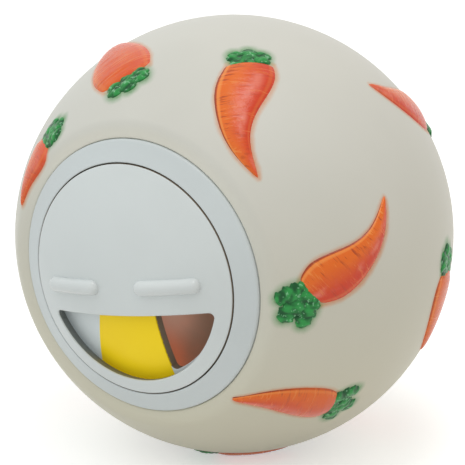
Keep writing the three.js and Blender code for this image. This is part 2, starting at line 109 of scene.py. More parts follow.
@dataclass(frozen=True)
class LidSizes:
    """Sizes of the lid's domed pieces; heights are above the ball's centre."""

    turn: float = math.radians(9.8)
    dome: float = 41.5
    bezel: float = 21.45
    bezel_edge: float = 0.95
    neck: float = 19.7
    gap: float = 0.3
    dial: float = 18.0
    dial_thickness: float = 1.8
    plate: float = 17.9
    plate_thickness: float = 1.6

    @property
    def edge_top(self) -> float:
        """Height of the dome at the bezel's outer edge."""
        return BALL.seat + self.gap + self.bezel_edge

    @property
    def dome_centre(self) -> float:
        """Height of the centre that all the lid's domes share."""
        return self.edge_top - math.sqrt(self.dome ** 2 - self.bezel ** 2)

    @property
    def plate_dome(self) -> float:
        """Radius of the plate's upper dome."""
        return self.dome - self.dial_thickness - self.gap

    def height(self, dome: float, distance: Array | float) -> Array:
        """Height of a dome at a distance from the axis: centre + sqrt(dome^2 - distance^2)."""
        return self.dome_centre + np.sqrt(dome ** 2 - np.square(distance))


BALL = BallSizes()
LID = LidSizes()
BALL_CENTRE = np.array([0.0, 0.0, BALL.radius])


def lid_to_row(points: Array) -> Array:
    """Points of the lid's frame in the row's frame.

    The lid's x and y are turned by the lid's roll, its h points along -Y.

    Args:
        points: array (..., 3) of x, y, h in millimetres.

    Returns:
        Array of the same shape in the row's frame, in millimetres.
    """
    x, y, h = np.moveaxis(np.asarray(points, float), -1, 0)
    cos, sin = math.cos(LID.turn), math.sin(LID.turn)
    return np.stack([x * cos - y * sin, -h, BALL.radius + x * sin + y * cos], axis=-1)


def direction(azimuth: float, elevation: float) -> Array:
    """Unit vector from the ball's centre; azimuth 0 towards the lid, 90 to the right."""
    turn, rise = math.radians(azimuth), math.radians(elevation)
    return swung(rise, np.array([math.sin(turn), -math.cos(turn), 0.0]), UP)


def unit(vectors: Array) -> Array:
    """Vectors of length one along the last axis."""
    return vectors / np.linalg.norm(vectors, axis=-1, keepdims=True)


def swung(angle: Array | float, start: Array, side: Array) -> Array:
    """Vectors turned from start towards side: cos(angle) start + sin(angle) side."""
    turn = np.asarray(angle)[..., None]
    return np.cos(turn) * start + np.sin(turn) * side


def crowded(count: int) -> Array:
    """Shares from 0 to 1 without both ends, crowded there: 0.5 - 0.5 cos(pi t)."""
    return 0.5 - 0.5 * np.cos(math.pi * np.linspace(0.0, 1.0, count)[1:-1])


def smooth(low: float, high: float, values: Array) -> Array:
    """Smooth step: 0 below low, 1 above high, 3t^2 - 2t^3 between."""
    t = np.clip((values - low) / (high - low), 0.0, 1.0)
    return t * t * (3.0 - 2.0 * t)


# Surfaces


@dataclass
class Surface:
    """A skin of quads and triangles with values per point, in millimetres."""

    points: Array
    quads: Array
    tris: Array
    values: dict[str, Array] = field(default_factory=dict)
    slots: Array | None = None

    def joined(self, other: "Surface") -> "Surface":
        """Both skins as one.

        Args:
            other: the skin whose faces come after this one's.

        Returns:
            A surface that holds the faces and values of both.
        """
        shift = len(self.points)
        values = {
            name: np.concatenate([mine, other.values[name]])
            for name, mine in self.values.items()
        }
        return Surface(
            np.concatenate([self.points, other.points]),
            np.concatenate([self.quads, other.quads + shift]),
            np.concatenate([self.tris, other.tris + shift]),
            values,
        )

    def volume(self) -> float:
        """Signed volume: positive where the faces point outwards.

        Returns:
            A sixth of the sum of a . (b x c) over the triangles.
        """
        triangles = np.concatenate(
            [self.quads[:, [0, 1, 2]], self.quads[:, [0, 2, 3]], self.tris]
        )
        a, b, c = (self.points[triangles[:, k]] for k in range(3))
        return float(np.einsum("ij,ij->i", a, np.cross(b, c)).sum() / 6.0)

    def outward(self) -> "Surface":
        """The same skin with its faces pointing outwards.

        Returns:
            This surface, or its mirror-wound copy.
        """
        if self.volume() >= 0.0:
            return self
        return Surface(
            self.points, self.quads[:, ::-1], self.tris[:, ::-1], self.values, self.slots
        )

    def piece(self, name: str, materials: list[Material], sharp: float = SHARP) -> Object:
        """A Blender object of this skin, smooth but for edges sharper than an angle.

        Args:
            name: the piece's name.
            materials: materials in slot order; slots says which each face has.
            sharp: angle in degrees past which an edge stays sharp.

        Returns:
            The object, at the origin and in the scene's collection.
        """
        mesh = bpy.data.meshes.new(name)
        loops = np.concatenate([self.quads.ravel(), self.tris.ravel()])
        totals = np.concatenate([np.full(len(self.quads), 4), np.full(len(self.tris), 3)])
        starts = np.concatenate([[0], np.cumsum(totals)[:-1]])
        mesh.vertices.add(len(self.points))
        mesh.vertices.foreach_set("co", (self.points * MM).astype(np.float32).ravel())
        mesh.loops.add(len(loops))
        mesh.loops.foreach_set("vertex_index", loops.astype(np.int32))
        mesh.polygons.add(len(totals))
        mesh.polygons.foreach_set("loop_start", starts.astype(np.int32))
        mesh.polygons.foreach_set("loop_total", totals.astype(np.int32))
        if self.slots is not None:
            mesh.polygons.foreach_set("material_index", self.slots.astype(np.int32))
        mesh.update(calc_edges=True)
        for key, column in self.values.items():
            attribute = mesh.attributes.new(key, "FLOAT", "POINT")
            attribute.data.foreach_set("value", column.astype(np.float32))
        mesh.shade_smooth()
        mesh.set_sharp_from_angle(angle=math.radians(sharp))
        for material in materials:
            mesh.materials.append(material)
        return placed(name, mesh)


def placed(name: str, data: bpy.types.ID) -> Object:
    """A new object of some data, linked to the scene."""
    made = bpy.data.objects.new(name, data)
    bpy.context.scene.collection.objects.link(made)
    return made


def ring_quads(rings: int, around: int, wrap: bool) -> Array:
    """Quads between rings of equally many points, each ring closed on itself.

    Args:
        rings: number of rings.
        around: number of points in a ring.
        wrap: whether the last ring joins the first.

    Returns:
        Array (n, 4) of point indices, ring by ring.
    """
    steps = rings if wrap else rings - 1
    i, j = np.meshgrid(np.arange(steps), np.arange(around), indexing="ij")
    i_next, j_next = (i + 1) % rings, (j + 1) % around
    corners = ((i, j), (i_next, j), (i_next, j_next), (i, j_next))
    return np.stack([ring * around + spot for ring, spot in corners], axis=-1).reshape(-1, 4)


def tube(rings: Array, start: Array, end: Array, values: dict[str, Array]) -> Surface:
    """A closed skin over a stack of closed rings, with a pole at each end.

    Args:
        rings: array (rings, around, 3).
        start: the point that closes the first ring.
        end: the point that closes the last ring.
        values: arrays (rings, around); each pole takes the mean of its ring.

    Returns:
        The closed surface, its faces outwards.
    """
    count, around, _ = rings.shape
    points = np.concatenate([rings.reshape(-1, 3), [start], [end]])
    here = np.arange(around)
    following = (here + 1) % around
    first, last = count * around, count * around + 1
    base = (count - 1) * around
    fan_a = np.stack([np.full(around, first), here, following], axis=-1)
    fan_b = np.stack([np.full(around, last), base + following, base + here], axis=-1)
    columns = {
        key: np.concatenate([grid.ravel(), [grid[0].mean()], [grid[-1].mean()]])
        for key, grid in values.items()
    }
    quads = ring_quads(count, around, False)
    return Surface(points, quads, np.concatenate([fan_a, fan_b]), columns).outward()


def capped(rings: Array) -> Surface:
    """A closed skin without values over a stack of rings, its ends closed at their middles."""
    return tube(rings, rings[0].mean(axis=0), rings[-1].mean(axis=0), {})


def loop_skin(rings: Array) -> Surface:
    """A closed skin over closed rings of which the last joins the first, as on a torus."""
    quads = ring_quads(len(rings), rings.shape[1], True)
    return Surface(rings.reshape(-1, 3), quads, np.empty((0, 3), int)).outward()


def arc(centre: Pair, radius: float, start: float, stop: float, steps: int) -> Array:
    """Points on a circular arc in a plane, both ends included; angles in degrees.

    Args:
        centre: the circle's centre.
        radius: its radius.
        start: first angle.
        stop: last angle.
        steps: number of segments.

    Returns:
        Array (steps + 1, 2).
    """
    angles = np.radians(np.linspace(start, stop, steps + 1))
    return np.stack(
        [centre[0] + radius * np.cos(angles), centre[1] + radius * np.sin(angles)], axis=-1
    )


def rounded(corners: list[Triple], steps: int = 5, guard: float = 0.12) -> Array:
    """A closed outline whose corners are rounded by arcs.

    At a corner with radius r the arc touches both sides at r / tan(half angle); a guard point
    just past each end of the arc keeps the shading of the flat sides even.

    Args:
        corners: x, y and radius of each corner, in order.
        steps: segments in each arc.
        guard: distance of a guard point from its arc.

    Returns:
        Array (n, 2) of the outline's points.
    """
    spots = np.array([corner[:2] for corner in corners], float)
    parts: list[Array] = []
    for index, (x, y, radius) in enumerate(corners):
        here = np.array([x, y])
        back = unit(spots[index - 1] - here)
        ahead = unit(spots[(index + 1) % len(spots)] - here)
        if radius <= 0.0:
            parts.append(np.array([here + back * guard, here, here + ahead * guard]))
            continue
        half = 0.5 * math.acos(float(np.clip(back @ ahead, -1.0, 1.0)))
        reach = radius / math.tan(half)
        centre = here + unit(back + ahead) * (radius / math.sin(half))
        first, last = here + back * reach - centre, here + ahead * reach - centre
        swing = math.acos(float(np.clip(first @ last / radius ** 2, -1.0, 1.0)))
        t = np.linspace(0.0, 1.0, steps + 1)[:, None]
        bow = (np.sin((1 - t) * swing) * first + np.sin(t * swing) * last) / math.sin(swing)
        parts.append(np.array([here + back * (reach + guard)]))
        parts.append(centre + bow)
        parts.append(np.array([here + ahead * (reach + guard)]))
    return np.concatenate(parts)


def lathe_rings(profile: Array, around: int) -> Array:
    """Rings that a profile of [distance, height] points makes round the lid's axis.

    Point k at angle a lies at (d cos a, d sin a, h) in the lid's frame.

    Args:
        profile: array (n, 2) of distances and heights.
        around: number of points in each ring.

    Returns:
        Array (n, around, 3) in the row's frame.
    """
    angle = np.linspace(0.0, 2 * math.pi, around, endpoint=False)
    distance, height = profile[:, 0:1], profile[:, 1:2]
    points = np.stack(
        [distance * np.cos(angle), distance * np.sin(angle), height + 0 * angle], axis=-1
    )
    return lid_to_row(points)


def sleeve(
    bore: float, outer: float, low: float, fillet: float, high: float, around: int
) -> Surface:
    """A sleeve on the lid's axis whose lower edges are rounded.

    Args:
        bore: radius of its hole.
        outer: radius of its outside.
        low: height of its free end.
        fillet: radius at the hole's edge; the outer edge has 0.15.
        high: height of the end that runs into the disc.
        around: number of points round the axis.

    Returns:
        The closed surface in the row's frame.
    """
    corners = [(bore, low, fillet), (outer, low, 0.15), (outer, high, 0.0), (bore, high, 0.0)]
    return loop_skin(lathe_rings(rounded(corners), around))


def on_ray(angle: float, out: Array, side: Array, height: Array) -> Array:
    """Points beside a ray of the lid: x = out cos a - side sin a, y = out sin a + side cos a.

    Args:
        angle: the ray's angle a from the lid's x, in degrees.
        out: distances along the ray.
        side: distances to its left.
        height: heights; the three are broadcast together.

    Returns:
        Array (..., 3) in the row's frame.
    """
    cos, sin = math.cos(math.radians(angle)), math.sin(math.radians(angle))
    spots = np.broadcast_arrays(out * cos - side * sin, out * sin + side * cos, height)
    return lid_to_row(np.stack(spots, axis=-1))


def bore_cutter(radius: float, around: int) -> Surface:
    """A cylinder on the lid's axis that reaches through the plate, for cutting."""
    return capped(lathe_rings(np.array([[radius, level] for level in CUT_SPAN]), around))


# Node building


class Graph:
    """Short calls that add and link the nodes of one tree."""

    def __init__(self, tree: Tree) -> None:
        """Starts with an empty tree."""
        self.tree = tree
        tree.nodes.clear()

    @classmethod
    def of(cls, owner: Material | bpy.types.World) -> "Graph":
        """The graph of a material's or a world's emptied tree."""
        owner.use_nodes = True
        return cls(owner.node_tree)

    def node(self, kind: str, **settings: object) -> Node:
        """A new node with its settings.

        Args:
            kind: the node's type.
            settings: its properties.

        Returns:
            The node.
        """
        made = self.tree.nodes.new(kind)
        for key, value in settings.items():
            setattr(made, key, value)
        return made

    def feed(self, target: Socket, source: object) -> None:
        """Links a socket to a target, or sets the target's own value.

        Args:
            target: an input.
            source: a socket or a value.
        """
        if isinstance(source, bpy.types.NodeSocket):
            self.tree.links.new(source, target)
        else:
            target.default_value = source

    def fill(self, node: Node, **sources: object) -> Node:
        """Feeds a node's inputs by name, _ standing for a space, and returns the node."""
        for key, source in sources.items():
            self.feed(node.inputs[key.replace("_", " ")], source)
        return node

    def maths(self, operation: str, *terms: object, clamp: bool = False) -> Socket:
        """One Math node over sockets or numbers.

        Args:
            operation: the node's operation.
            terms: its inputs in order.
            clamp: whether the result stays in 0 to 1.

        Returns:
            The result.
        """
        made = self.node("ShaderNodeMath", operation=operation, use_clamp=clamp)
        for socket, term in zip(made.inputs, terms):
            self.feed(socket, term)
        return made.outputs[0]

    def times(self, first: object, second: object, plus: object = 0.0) -> Socket:
        """first * second + plus."""
        return self.maths("MULTIPLY_ADD", first, second, plus)

    def step(self, value: object, low: float, high: float) -> Socket:
        """Smooth step of a value: 0 at low, 1 at high, clamped."""
        made = self.node("ShaderNodeMapRange", interpolation_type="SMOOTHSTEP", clamp=True)
        return self.fill(made, Value=value, From_Min=low, From_Max=high).outputs["Result"]

    def band(self, value: object, rising: Pair, falling: Pair) -> Socket:
        """1 between two smooth steps, 0 outside: the rising step less the falling one."""
        return self.maths("SUBTRACT", self.step(value, *rising), self.step(value, *falling))

    def blend(self, factor: object, first: object, second: object) -> Socket:
        """Mixes two colours by a factor; a Mix node has its colours at inputs 6 and 7.

        Args:
            factor: share of the second colour.
            first: colour at 0.
            second: colour at 1.

        Returns:
            The mixed colour.
        """
        made = self.node("ShaderNodeMix", data_type="RGBA")
        for index, source in ((0, factor), (6, first), (7, second)):
            self.feed(made.inputs[index], source)
        return made.outputs[2]

    def layered(self, base: Socket, *layers: tuple[Socket, object, Triple]) -> Socket:
        """Blends paints over a colour, one after the other.

        Args:
            base: the colour below.
            layers: a mask, a factor on the mask and the paint's display levels for each.

        Returns:
            The colour on top.
        """
        for mask, share, levels in layers:
            base = self.blend(self.times(mask, share), base, paint(*levels))
        return base

    def noise(
        self, scale: object, detail: float = 2.0, rough: float = 0.5, at: Socket | None = None
    ) -> Socket:
        """The value of a Noise texture, in object coordinates where no place is given."""
        made = self.node("ShaderNodeTexNoise")
        self.fill(made, Scale=scale, Detail=detail, Roughness=rough)
        return self.fill(made, Vector=at or self.place()).outputs["Fac"]

    def value(self, name: str) -> Socket:
        """A value that the mesh carries per point."""
        return self.node("ShaderNodeAttribute", attribute_name=name).outputs["Fac"]

    def place(self) -> Socket:
        """Object coordinates."""
        return self.node("ShaderNodeTexCoord").outputs["Object"]

    def group(self, tree: Tree, **inputs: object) -> Socket:
        """The output of a node group that gets values for its named inputs."""
        return self.fill(self.node("ShaderNodeGroup", node_tree=tree), **inputs).outputs[0]


def paint(*levels: float) -> tuple[float, float, float, float]:
    """A colour from display levels 0 to 255, as the linear values that sockets take.

    Args:
        levels: red, green and blue.

    Returns:
        Red, green, blue and an alpha of 1.
    """
    red, green, blue = (
        level / 255 / 12.92 if level <= 10 else ((level / 255 + 0.055) / 1.055) ** 2.4
        for level in levels
    )
    return red, green, blue, 1.0


class Effects:
    """Node groups that several finishes use, each built once."""

    def __init__(self) -> None:
        """Builds the groups."""
        self.grain = self._moulded_grain()
        self.cloud = self._soft_cloud()
        self.spray = self._spray_edge()

    @staticmethod
    def _new(
        name: str, output: str, **inputs: float
    ) -> tuple[Graph, bpy.types.bpy_prop_collection, Socket]:
        """A new group of values.

        Args:
            name: the group's name.
            output: the name of its one output.
            inputs: the names of its inputs with their own values.

        Returns:
            The group's graph, its inputs to read from and its output to feed.
        """
        tree = bpy.data.node_groups.new(name, "ShaderNodeTree")
        for label, default in inputs.items():
            made = tree.interface.new_socket(label, in_out="INPUT", socket_type="NodeSocketFloat")
            made.default_value = default
        tree.interface.new_socket(output, in_out="OUTPUT", socket_type="NodeSocketFloat")
        graph = Graph(tree)
        entry, leave = graph.node("NodeGroupInput"), graph.node("NodeGroupOutput")
        return graph, entry.outputs, leave.inputs[output]

    def _moulded_grain(self) -> Tree:
        """Height of a fine eroded mould texture: two noises, the finer one weaker.

        Returns:
            The group, with the scales as inputs.
        """
        graph, given, height = self._new("moulded_grain", "Height", Fine=2600.0, Coarse=420.0)
        fine, coarse = (graph.noise(given[label], 3.0) for label in ("Fine", "Coarse"))
        graph.feed(height, graph.times(fine, 0.35, coarse))
        return graph.tree

    def _soft_cloud(self) -> Tree:
        """Slow change over the surface, 0 to 1, for colour and gloss that vary a little."""
        graph, given, amount = self._new("soft_cloud", "Amount", Scale=60.0)
        graph.feed(amount, graph.step(graph.noise(given["Scale"], 4.0), 0.32, 0.68))
        return graph.tree

    def _spray_edge(self) -> Tree:
        """Overspray mask: 1 at distance 0, fading over Width, its edge broken by a noise.

        Returns:
            The group, with distance and width in millimetres as inputs.
        """
        graph, given, mask = self._new("spray_edge", "Mask", Distance=0.0, Width=0.8)
        width = graph.times(given["Width"], graph.times(graph.noise(420.0), 0.9, 0.55))
        near = graph.maths("DIVIDE", given["Distance"], width)
        curved = graph.maths("POWER", graph.maths("SUBTRACT", 1.0, near, clamp=True), 1.5)
        mottled = graph.times(graph.noise(1900.0, 3.0, 0.7), 0.8, 0.6)
        graph.feed(mask, graph.maths("MULTIPLY", curved, mottled, clamp=True))
        return graph.tree


@dataclass(frozen=True)
class Coat:
    """What a finish puts on its shader; glow is how strongly its own colour shines."""

    colour: Socket
    gloss: Socket | float
    height: Socket | None = None
    specular: float = 0.5
    glow: float = 0.0
    metal: float = 0.0


@dataclass(frozen=True)
class Finish(ABC):
    """What every finish shares: a name, a roughness and its grain's depth in millimetres."""

    name: str
    rough: float
    grain: float

    @abstractmethod
    def coat(self, graph: Graph, effects: Effects) -> Coat:
        """The nodes that are the finish's own."""

    def build(self, effects: Effects) -> Material:
        """The material: a Principled BSDF with the coat on it, its height as a bump.

        Args:
            effects: the node groups that finishes share.

        Returns:
            The material, named like the finish.
        """
        material = bpy.data.materials.new(self.name)
        graph = Graph.of(material)
        coat = self.coat(graph, effects)
        shader = graph.node("ShaderNodeBsdfPrincipled")
        graph.fill(shader, Base_Color=coat.colour, Roughness=coat.gloss, Metallic=coat.metal)
        graph.fill(shader, Specular_IOR_Level=coat.specular)
        if coat.glow > 0.0:
            graph.fill(shader, Emission_Color=coat.colour, Emission_Strength=coat.glow)
        if coat.height is not None:
            bump = graph.node("ShaderNodeBump")
            graph.fill(bump, Strength=1.0, Distance=self.grain * MM, Height=coat.height)
            graph.fill(shader, Normal=bump.outputs["Normal"])
        graph.fill(graph.node("ShaderNodeOutputMaterial"), Surface=shader.outputs["BSDF"])
        return material


class CreamVinyl(Finish):
    """Soft rotomoulded vinyl with the overspray of the painted carrots on it."""

    def coat(self, graph: Graph, effects: Effects) -> Coat:
        """Reads the mesh's rim value, a painted highlight, and its distances to the nearest root
        and leaves.

        Args:
            graph: the material's nodes.
            effects: the shared node groups.

        Returns:
            What the shader gets.
        """
        cloud = graph.group(effects.cloud, Scale=38.0)
        split = graph.fill(graph.node("ShaderNodeSeparateXYZ"), Vector=graph.place())
        colour = graph.layered(
            graph.blend(cloud, paint(210, 208, 200), paint(214, 212, 204)),
            # Painted shade: the vinyl turns warmer and darker towards the bottom of the ball.
            (graph.step(split.outputs["Z"], 0.062, 0.004), 0.85, (213, 207, 184)),
            # Painted highlight: the rim value makes the vinyl paler just above the lid, on its
            # upper side.
            (graph.value("rim"), 0.6, (236, 232, 218)),
            (self._spray(graph, effects, "root_gap", 0.72), 0.8, (214, 134, 66)),
            (self._spray(graph, effects, "leaf_gap", 1.3), 0.75, (84, 150, 84)),
        )
        height = graph.group(effects.grain, Fine=2400.0, Coarse=300.0)
        return Coat(colour, graph.times(cloud, 0.06, self.rough), height, specular=0.28)

    def _spray(self, graph: Graph, effects: Effects, gap: str, width: float) -> Socket:
        """Overspray that fades with one of the mesh's distances."""
        return graph.group(effects.spray, Distance=graph.value(gap), Width=width)


class ChamberLining(Finish):
    """The ball's inside: light that seeps through the painted vinyl warms one part of it."""

    def coat(self, graph: Graph, effects: Effects) -> Coat:
        """Reads warmth and glow from the mesh.

        Args:
            graph: the material's nodes.
            effects: the shared node groups.

        Returns:
            What the shader gets.
        """
        cloud = graph.group(effects.cloud, Scale=150.0)
        warmth = graph.step(graph.times(cloud, 0.3, graph.value("warmth")), 0.0, 1.15)
        base = graph.blend(warmth, paint(118, 98, 82), paint(188, 112, 80))
        lit = graph.blend(graph.value("glow"), base, paint(190, 172, 156))
        return Coat(lit, self.rough, glow=0.44)


class RootPaint(Finish):
    """Carrot paint: orange, red airbrush that also paints shade away from the light, a painted
    sheen, cross grooves.
    """

    def coat(self, graph: Graph, effects: Effects) -> Coat:
        """Reads way, across, seed and the side value, positive away from the light, from the
        mesh.

        From the base up: a painted pale sheen on the side away from the light, painted highlights
        and shade along the streaks and a painted highlight in a band near both edges, both
        stronger towards the light, and a dark line at the edge on the side towards the light.

        Args:
            graph: the material's nodes.
            effects: the shared node groups; not used.

        Returns:
            What the shader gets.
        """
        way, across, away_from_light, seed = map(graph.value, ("way", "across", "away_from_light", "seed"))
        join = graph.node("ShaderNodeCombineXYZ")
        graph.fill(join, X=graph.times(way, 1.75), Y=graph.times(across, 0.85), Z=seed)
        streak = graph.noise(1.0, 4.0, 0.62, join.outputs["Vector"])
        patch = graph.noise(260.0, 3.0, 0.55)
        edge = graph.maths("ABSOLUTE", across)
        # Red airbrushing on the side away from the light: the carrot's paint, which also paints
        # shade there.
        red = graph.step(graph.times(patch, 0.7, graph.times(away_from_light, 1.0, -0.3)), -0.35, 0.5)
        # Painted highlight: a pale sheen beside the middle on the side away from the light, in
        # patches.
        painted_sheen = graph.times(
            graph.band(away_from_light, (0.0, 0.28), (0.3, 0.56)), graph.step(patch, 0.38, 0.62)
        )
        # 1 on the side towards the light, where the painted highlights are stronger.
        towards_light = graph.step(away_from_light, -0.1, -0.5)
        # Painted highlights and shade along the streaks, stronger towards the light.
        groove_light_and_shade = graph.times(towards_light, 0.5, 0.3)
        # Painted highlight in a band near both edges, stronger towards the light.
        ridge_highlight = graph.times(towards_light, 0.5, 0.2)
        line = graph.times(graph.step(edge, 0.86, 0.92), towards_light)
        colour = graph.layered(
            graph.blend(red, paint(234, 108, 22), paint(216, 60, 16)),
            (painted_sheen, 0.62, (240, 140, 116)),
            (graph.step(streak, 0.56, 0.7), groove_light_and_shade, (240, 150, 70)),
            (graph.step(streak, 0.46, 0.34), groove_light_and_shade, (160, 50, 14)),
            (graph.band(edge, (0.7, 0.8), (0.84, 0.9)), ridge_highlight, (246, 150, 70)),
            (line, 0.85, (140, 40, 14)),
        )
        height = graph.times(graph.noise(1500.0, 3.0), 0.25, streak)
        return Coat(colour, graph.times(streak, 0.12, self.rough), height, specular=0.4)


class LeafPaint(Finish):
    """Leaf paint: painted shade darkens the hollows, bright green on the lumps, a few painted
    pale glints.
    """

    def coat(self, graph: Graph, effects: Effects) -> Coat:
        """Reads the lump value from the mesh.

        Args:
            graph: the material's nodes.
            effects: the shared node groups; not used.

        Returns:
            What the shader gets.
        """
        crumb = graph.noise(900.0, 4.0, 0.65)
        # Painted shade: darker green in the hollows and on the low foot, bright on the lumps.
        high = graph.times(crumb, 0.9, graph.times(graph.value("lump"), 1.0, -0.45))
        green = graph.blend(graph.step(high, 0.05, 0.85), paint(2, 78, 34), paint(46, 152, 72))
        # Painted highlight: a few pale glints.
        painted_glint = graph.step(graph.noise(1700.0), 0.6, 0.66)
        colour = graph.layered(green, (painted_glint, 0.55, (150, 214, 166)))
        return Coat(colour, self.rough, crumb, specular=0.3)


@dataclass(frozen=True)
class PlainFinish(Finish):
    """One shade with a fine grain that drifts a little: moulded plastic, film or zinc plate.

    Shades are display levels; deeper is the shade where the cloud is thin, 5 levels under the
    shade where none is given. Cloud is its scale and drift its pull on the roughness. Mould
    holds the grain's fine and coarse scale. Glow makes the colour shine by itself: painted
    light that stands in for light seeping through from behind.
    """

    shade: Triple
    glow: float = 0.0
    deeper: Triple | None = None
    cloud: float = 45.0
    drift: float = 0.05
    mould: Pair = (3600.0, 700.0)
    specular: float = 0.35
    metal: float = 0.0

    def coat(self, graph: Graph, effects: Effects) -> Coat:
        """Both shades mixed by the cloud, which moves the roughness too.

        Args:
            graph: the material's nodes.
            effects: the shared node groups.

        Returns:
            What the shader gets.
        """
        cloud = graph.group(effects.cloud, Scale=self.cloud)
        deeper = self.deeper or tuple(level - 5 for level in self.shade)
        base = graph.blend(cloud, paint(*deeper), paint(*self.shade))
        gloss = graph.times(cloud, self.drift, self.rough) if self.drift else self.rough
        height = graph.group(effects.grain, Fine=self.mould[0], Coarse=self.mould[1])
        return Coat(base, gloss, height, self.specular, self.glow, self.metal)


class Finishes:
    """All the object's materials."""

    def __init__(self) -> None:
        """Builds every material on the shared effects."""
        effects = Effects()

        def pale(name: str, rough: float, grain: float, *look: object) -> Material:
            """Injection moulded plastic in one pale shade, with a painted glow where it has one.
            """
            return PlainFinish(name, rough, grain, *look).build(effects)

        self.vinyl = CreamVinyl("cream_vinyl", 0.42, 0.006).build(effects)
        self.lining = ChamberLining("chamber_lining", 0.6, 0.0).build(effects)
        self.root = RootPaint("root_paint", 0.2, 0.07).build(effects)
        self.leaf = LeafPaint("leaf_paint", 0.32, 0.1).build(effects)
        self.lid = pale("pale_lid_plastic", 0.32, 0.003, (219, 224, 224))
        # The ring takes the lid's plastic 6 to 8 levels darker: a shaded copy that paints shade
        # on the ring.
        self.ring = pale("pale_ring_plastic", 0.34, 0.003, (211, 217, 218))
        self.grip = pale("polished_grip_plastic", 0.16, 0.002, (219, 223, 223))
        self.wall = pale("shaded_lid_wall", 0.5, 0.004, (126, 130, 128))
        self.recess = pale("shaded_recess", 0.6, 0.004, (152, 138, 122))
        # The plate glows a little: painted light that lifts the shade under the dial.
        self.plate = pale("pale_plate_plastic", 0.4, 0.003, (206, 213, 214), 0.13)
        self.edge = pale("shaded_plate_edge", 0.55, 0.004, (150, 136, 118))
        # The film glows: painted light that lifts the shade under the dial.
        self.film = PlainFinish(
            "yellow_film", 0.45, 0.004, (239, 206, 22), 0.17, (236, 202, 18),
            cloud=120.0, drift=0.0, mould=(3000.0, 500.0), specular=0.25,
        ).build(effects)
        self.steel = PlainFinish(
            "zinc_plate", 0.32, 0.006, (204, 204, 200), 0.0, (176, 178, 182),
            cloud=400.0, drift=0.12, mould=(5200.0, 1500.0), specular=0.5, metal=1.0,
        ).build(effects)


class Slot(Enum):
    """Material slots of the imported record."""

    VINYL = "vinyl_cream"
    LID = "lid_plastic"
    PLATE = "plate_plastic"
    FILM = "film_yellow"
    STEEL = "fastener_steel"


class Body(Enum):
    """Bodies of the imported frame."""

    HOUSING = "housing"
    DIAL = "dial_assembly"


def settle(piece: Object, body: Body, slot: Slot, *nodes: str) -> None:
    """Puts a finished piece on its body, and hides the nodes that it stands for.

    Args:
        piece: the finished piece.
        body: the body that it rides on.
        slot: the record's material slot for the piece; not used.
        nodes: CAD nodes that it replaces.
    """
    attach(piece, body.value)
    if nodes:
        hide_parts(*nodes)
    log.info("%s on %s, %d faces", piece.name, body.value, len(piece.data.polygons))


# The carrots


@dataclass(frozen=True)
class Carrot:
    """One carrot in relief: where it lies, how it bends, its width and its tuft.

    Crown and tip are azimuth and elevation in degrees. Sag bows the centre line. Neck is the
    share of the width at the crown, waist the width of the taper's bell. Fan is the angle that
    the tuft's lobes spread over and lean how far they turn, in degrees.
    """

    crown: Pair
    tip: Pair
    sag: float
    width: float
    neck: float
    waist: float
    tuft: float
    fan: float
    lean: float = 0.0

    @property
    def axes(self) -> tuple[Array, Array, Array]:
        """Unit vectors at the crown: outwards, along to the tip, and across."""
        out, tip = direction(*self.crown), direction(*self.tip)
        along = unit(tip - out * (out @ tip))
        return out, along, np.cross(out, along)

    @property
    def length(self) -> float:
        """Length from crown to tip along the ball."""
        return math.acos(float(direction(*self.crown) @ direction(*self.tip))) * BALL.radius

    def half_width(self, share: Array) -> Array:
        """Half width at a share of the way from crown to tip.

        A shoulder that opens over the first fifth, then a bell curve mixed with a curve that
        closes to a slender tip.

        Args:
            share: shares of the way, 0 at the crown.

        Returns:
            Half widths in millimetres.
        """
        opening = np.sin(math.pi / 2 * np.minimum(share / 0.2, 1.0))
        shoulder = self.neck + (1.0 - self.neck) * opening
        u = np.clip((share - 0.2) / 0.8, 0.0, 1.0)
        taper = 0.42 * np.exp(-np.square(u / self.waist)) + 0.58 * np.power(1.0 - u * u, 0.7)
        return self.width / 2 * shoulder * taper

    def centre(self, share: Array) -> Array:
        """Sideways place of the centre line: sag times sin(pi share^1.4)."""
        return self.sag * np.sin(math.pi * np.power(np.clip(share, 0.0, 1.0), 1.4))


